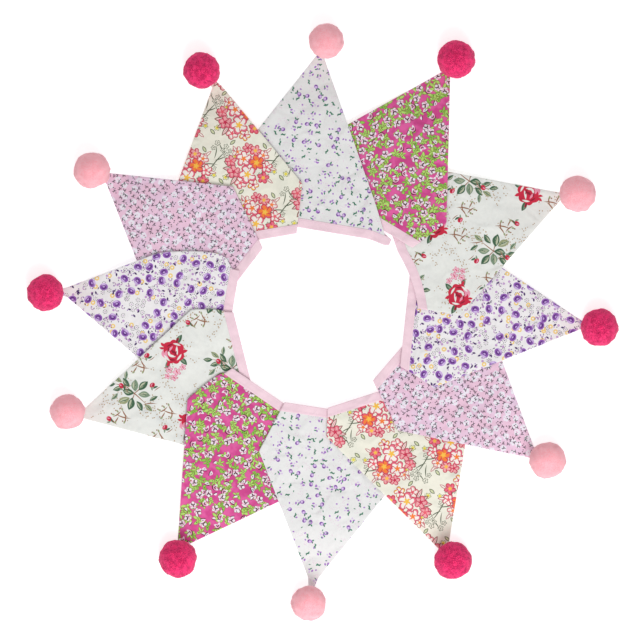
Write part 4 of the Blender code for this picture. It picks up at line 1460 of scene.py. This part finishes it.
class BUNTING_OT_pompoms(bpy.types.Operator):
    """Make the twelve wool balls"""

    bl_idname = "bunting.pompoms"
    bl_label = "Make pompoms"

    def execute(self, context):
        settings = context.scene.bunting_wool
        # Each wool: its colour, its root colour painted as shade, its lighter tufts and its grain.
        wools = {
            "pale": wool_material("wool_pale", settings.pale, (0.87, 0.39, 0.445), (0.97, 0.50, 0.55), 0.30),
            "hot": wool_material("wool_hot", settings.hot, (0.54, 0.012, 0.095), (0.80, 0.050, 0.19), 1.3),
        }
        strands = strand_tree()
        for index, flag in enumerate(FLAGS):
            node = f"pompom_{index + 1:02d}"
            values = {
                "Spacing": settings.spacing, "Length": settings.length, "Thickness": settings.thickness,
                "Lean": 0.42, "Floor": 0.0003, "Seed": index + 1, "Material": wools[flag.wool],
            }
            core = ball_core(index, settings.length / MM)
            mesh = grow(core, "bunting_" + node, strands, values)
            outward_normals(mesh, flag)
            piece = piece_object("bunting_" + node, mesh, wools[flag.wool])
            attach(piece, "root")
            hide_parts(node)
        return {"FINISHED"}


class BUNTING_OT_stage(bpy.types.Operator):
    """Make the floor, the lights and the camera"""

    bl_idname = "bunting.stage"
    bl_label = "Make stage"

    def execute(self, context):
        settings = context.scene.bunting_stage
        floor_mesh = bpy.data.meshes.new("stage_floor")
        sides = ((-1, -1), (1, -1), (1, 1), (-1, 1))
        corners = [(x * FLOOR_REACH, y * FLOOR_REACH, FLOOR_LEVEL) for x, y in sides]
        floor_mesh.from_pydata(corners, [], [(0, 1, 2, 3)])
        paper, tree, shader = new_material("stage_paper")
        grain = tree.noise(tree.add("ShaderNodeTexCoord", give="Object"), 40.0)
        white = tree.scale((1.0, 1.0, 1.0), tree.math("MULTIPLY_ADD", grain, 0.01, 0.79))
        tree.fill(
            shader, Base_Color=white, Roughness=0.9, Emission_Color=(1.0, 1.0, 1.0, 1.0),
            Emission_Strength=settings.floor_glow,
        )
        floor = piece_object("stage_floor", floor_mesh, paper)
        scene = context.scene
        scene.view_settings.view_transform = "Standard"
        world = scene.world or bpy.data.worlds.new("studio")
        scene.world = world
        world.use_nodes = True
        sky = world.node_tree.nodes["Background"]
        sky.inputs["Color"].default_value = (1.0, 1.0, 1.0, 1.0)
        sky.inputs["Strength"].default_value = settings.sky
        lamp_data = bpy.data.lights.new("soft_lamp", "AREA")
        lamp_data.energy = settings.lamp
        lamp_data.shape = "DISK"
        lamp_data.size = 1.3
        lamp = bpy.data.objects.new("soft_lamp", lamp_data)
        place = Vector(LAMP_PLACE)
        lamp.location = place
        lamp.rotation_euler = place.to_track_quat("Z", "Y").to_euler()
        scene.collection.objects.link(lamp)
        camera_data = bpy.data.cameras.new("camera")
        camera_data.sensor_width = 36.0
        camera_data.lens = camera_data.sensor_width * VIEW_HEIGHT / settings.view_width
        camera_data.clip_end = 50.0
        camera = bpy.data.objects.new("camera", camera_data)
        camera.location = (*VIEW_CENTRE, VIEW_HEIGHT)
        scene.collection.objects.link(camera)
        scene.camera = camera
        return {"FINISHED"}


class BUNTING_PT_pieces(bpy.types.Panel):
    """Sizes and colours of the bunting, and the buttons that make it"""

    bl_idname = "BUNTING_PT_pieces"
    bl_label = "Flag bunting"
    bl_space_type = "VIEW_3D"
    bl_region_type = "UI"
    bl_category = "Bunting"

    def draw(self, context):
        scene = context.scene
        rows = (
            (scene.bunting_cloth, ("thickness",), "bunting.flags"),
            (scene.bunting_tape, ("layer", "pitch", "colour"), "bunting.tape"),
            (scene.bunting_wool, ("spacing", "length", "thickness", "pale", "hot"), "bunting.pompoms"),
            (scene.bunting_stage, ("view_width", "floor_glow", "sky", "lamp"), "bunting.stage"),
        )
        for settings, names, operator in rows:
            box = self.layout.box()
            for name in names:
                box.prop(settings, name)
            box.operator(operator)


SETTINGS = (
    ("bunting_cloth", ClothSettings),
    ("bunting_tape", TapeSettings),
    ("bunting_wool", WoolSettings),
    ("bunting_stage", StageSettings),
)
PARTS = (BUNTING_OT_flags, BUNTING_OT_tape, BUNTING_OT_pompoms, BUNTING_OT_stage, BUNTING_PT_pieces)


def register():
    for name, group in SETTINGS:
        bpy.utils.register_class(group)
        setattr(bpy.types.Scene, name, bpy.props.PointerProperty(type=group))
    for part in PARTS:
        bpy.utils.register_class(part)


def unregister():
    for part in reversed(PARTS):
        bpy.utils.unregister_class(part)
    for name, group in reversed(SETTINGS):
        delattr(bpy.types.Scene, name)
        bpy.utils.unregister_class(group)


def main():
    register()
    bpy.ops.bunting.stage()
    bpy.ops.bunting.flags()
    bpy.ops.bunting.tape()
    bpy.ops.bunting.pompoms()


if __name__ == "__main__":
    main()
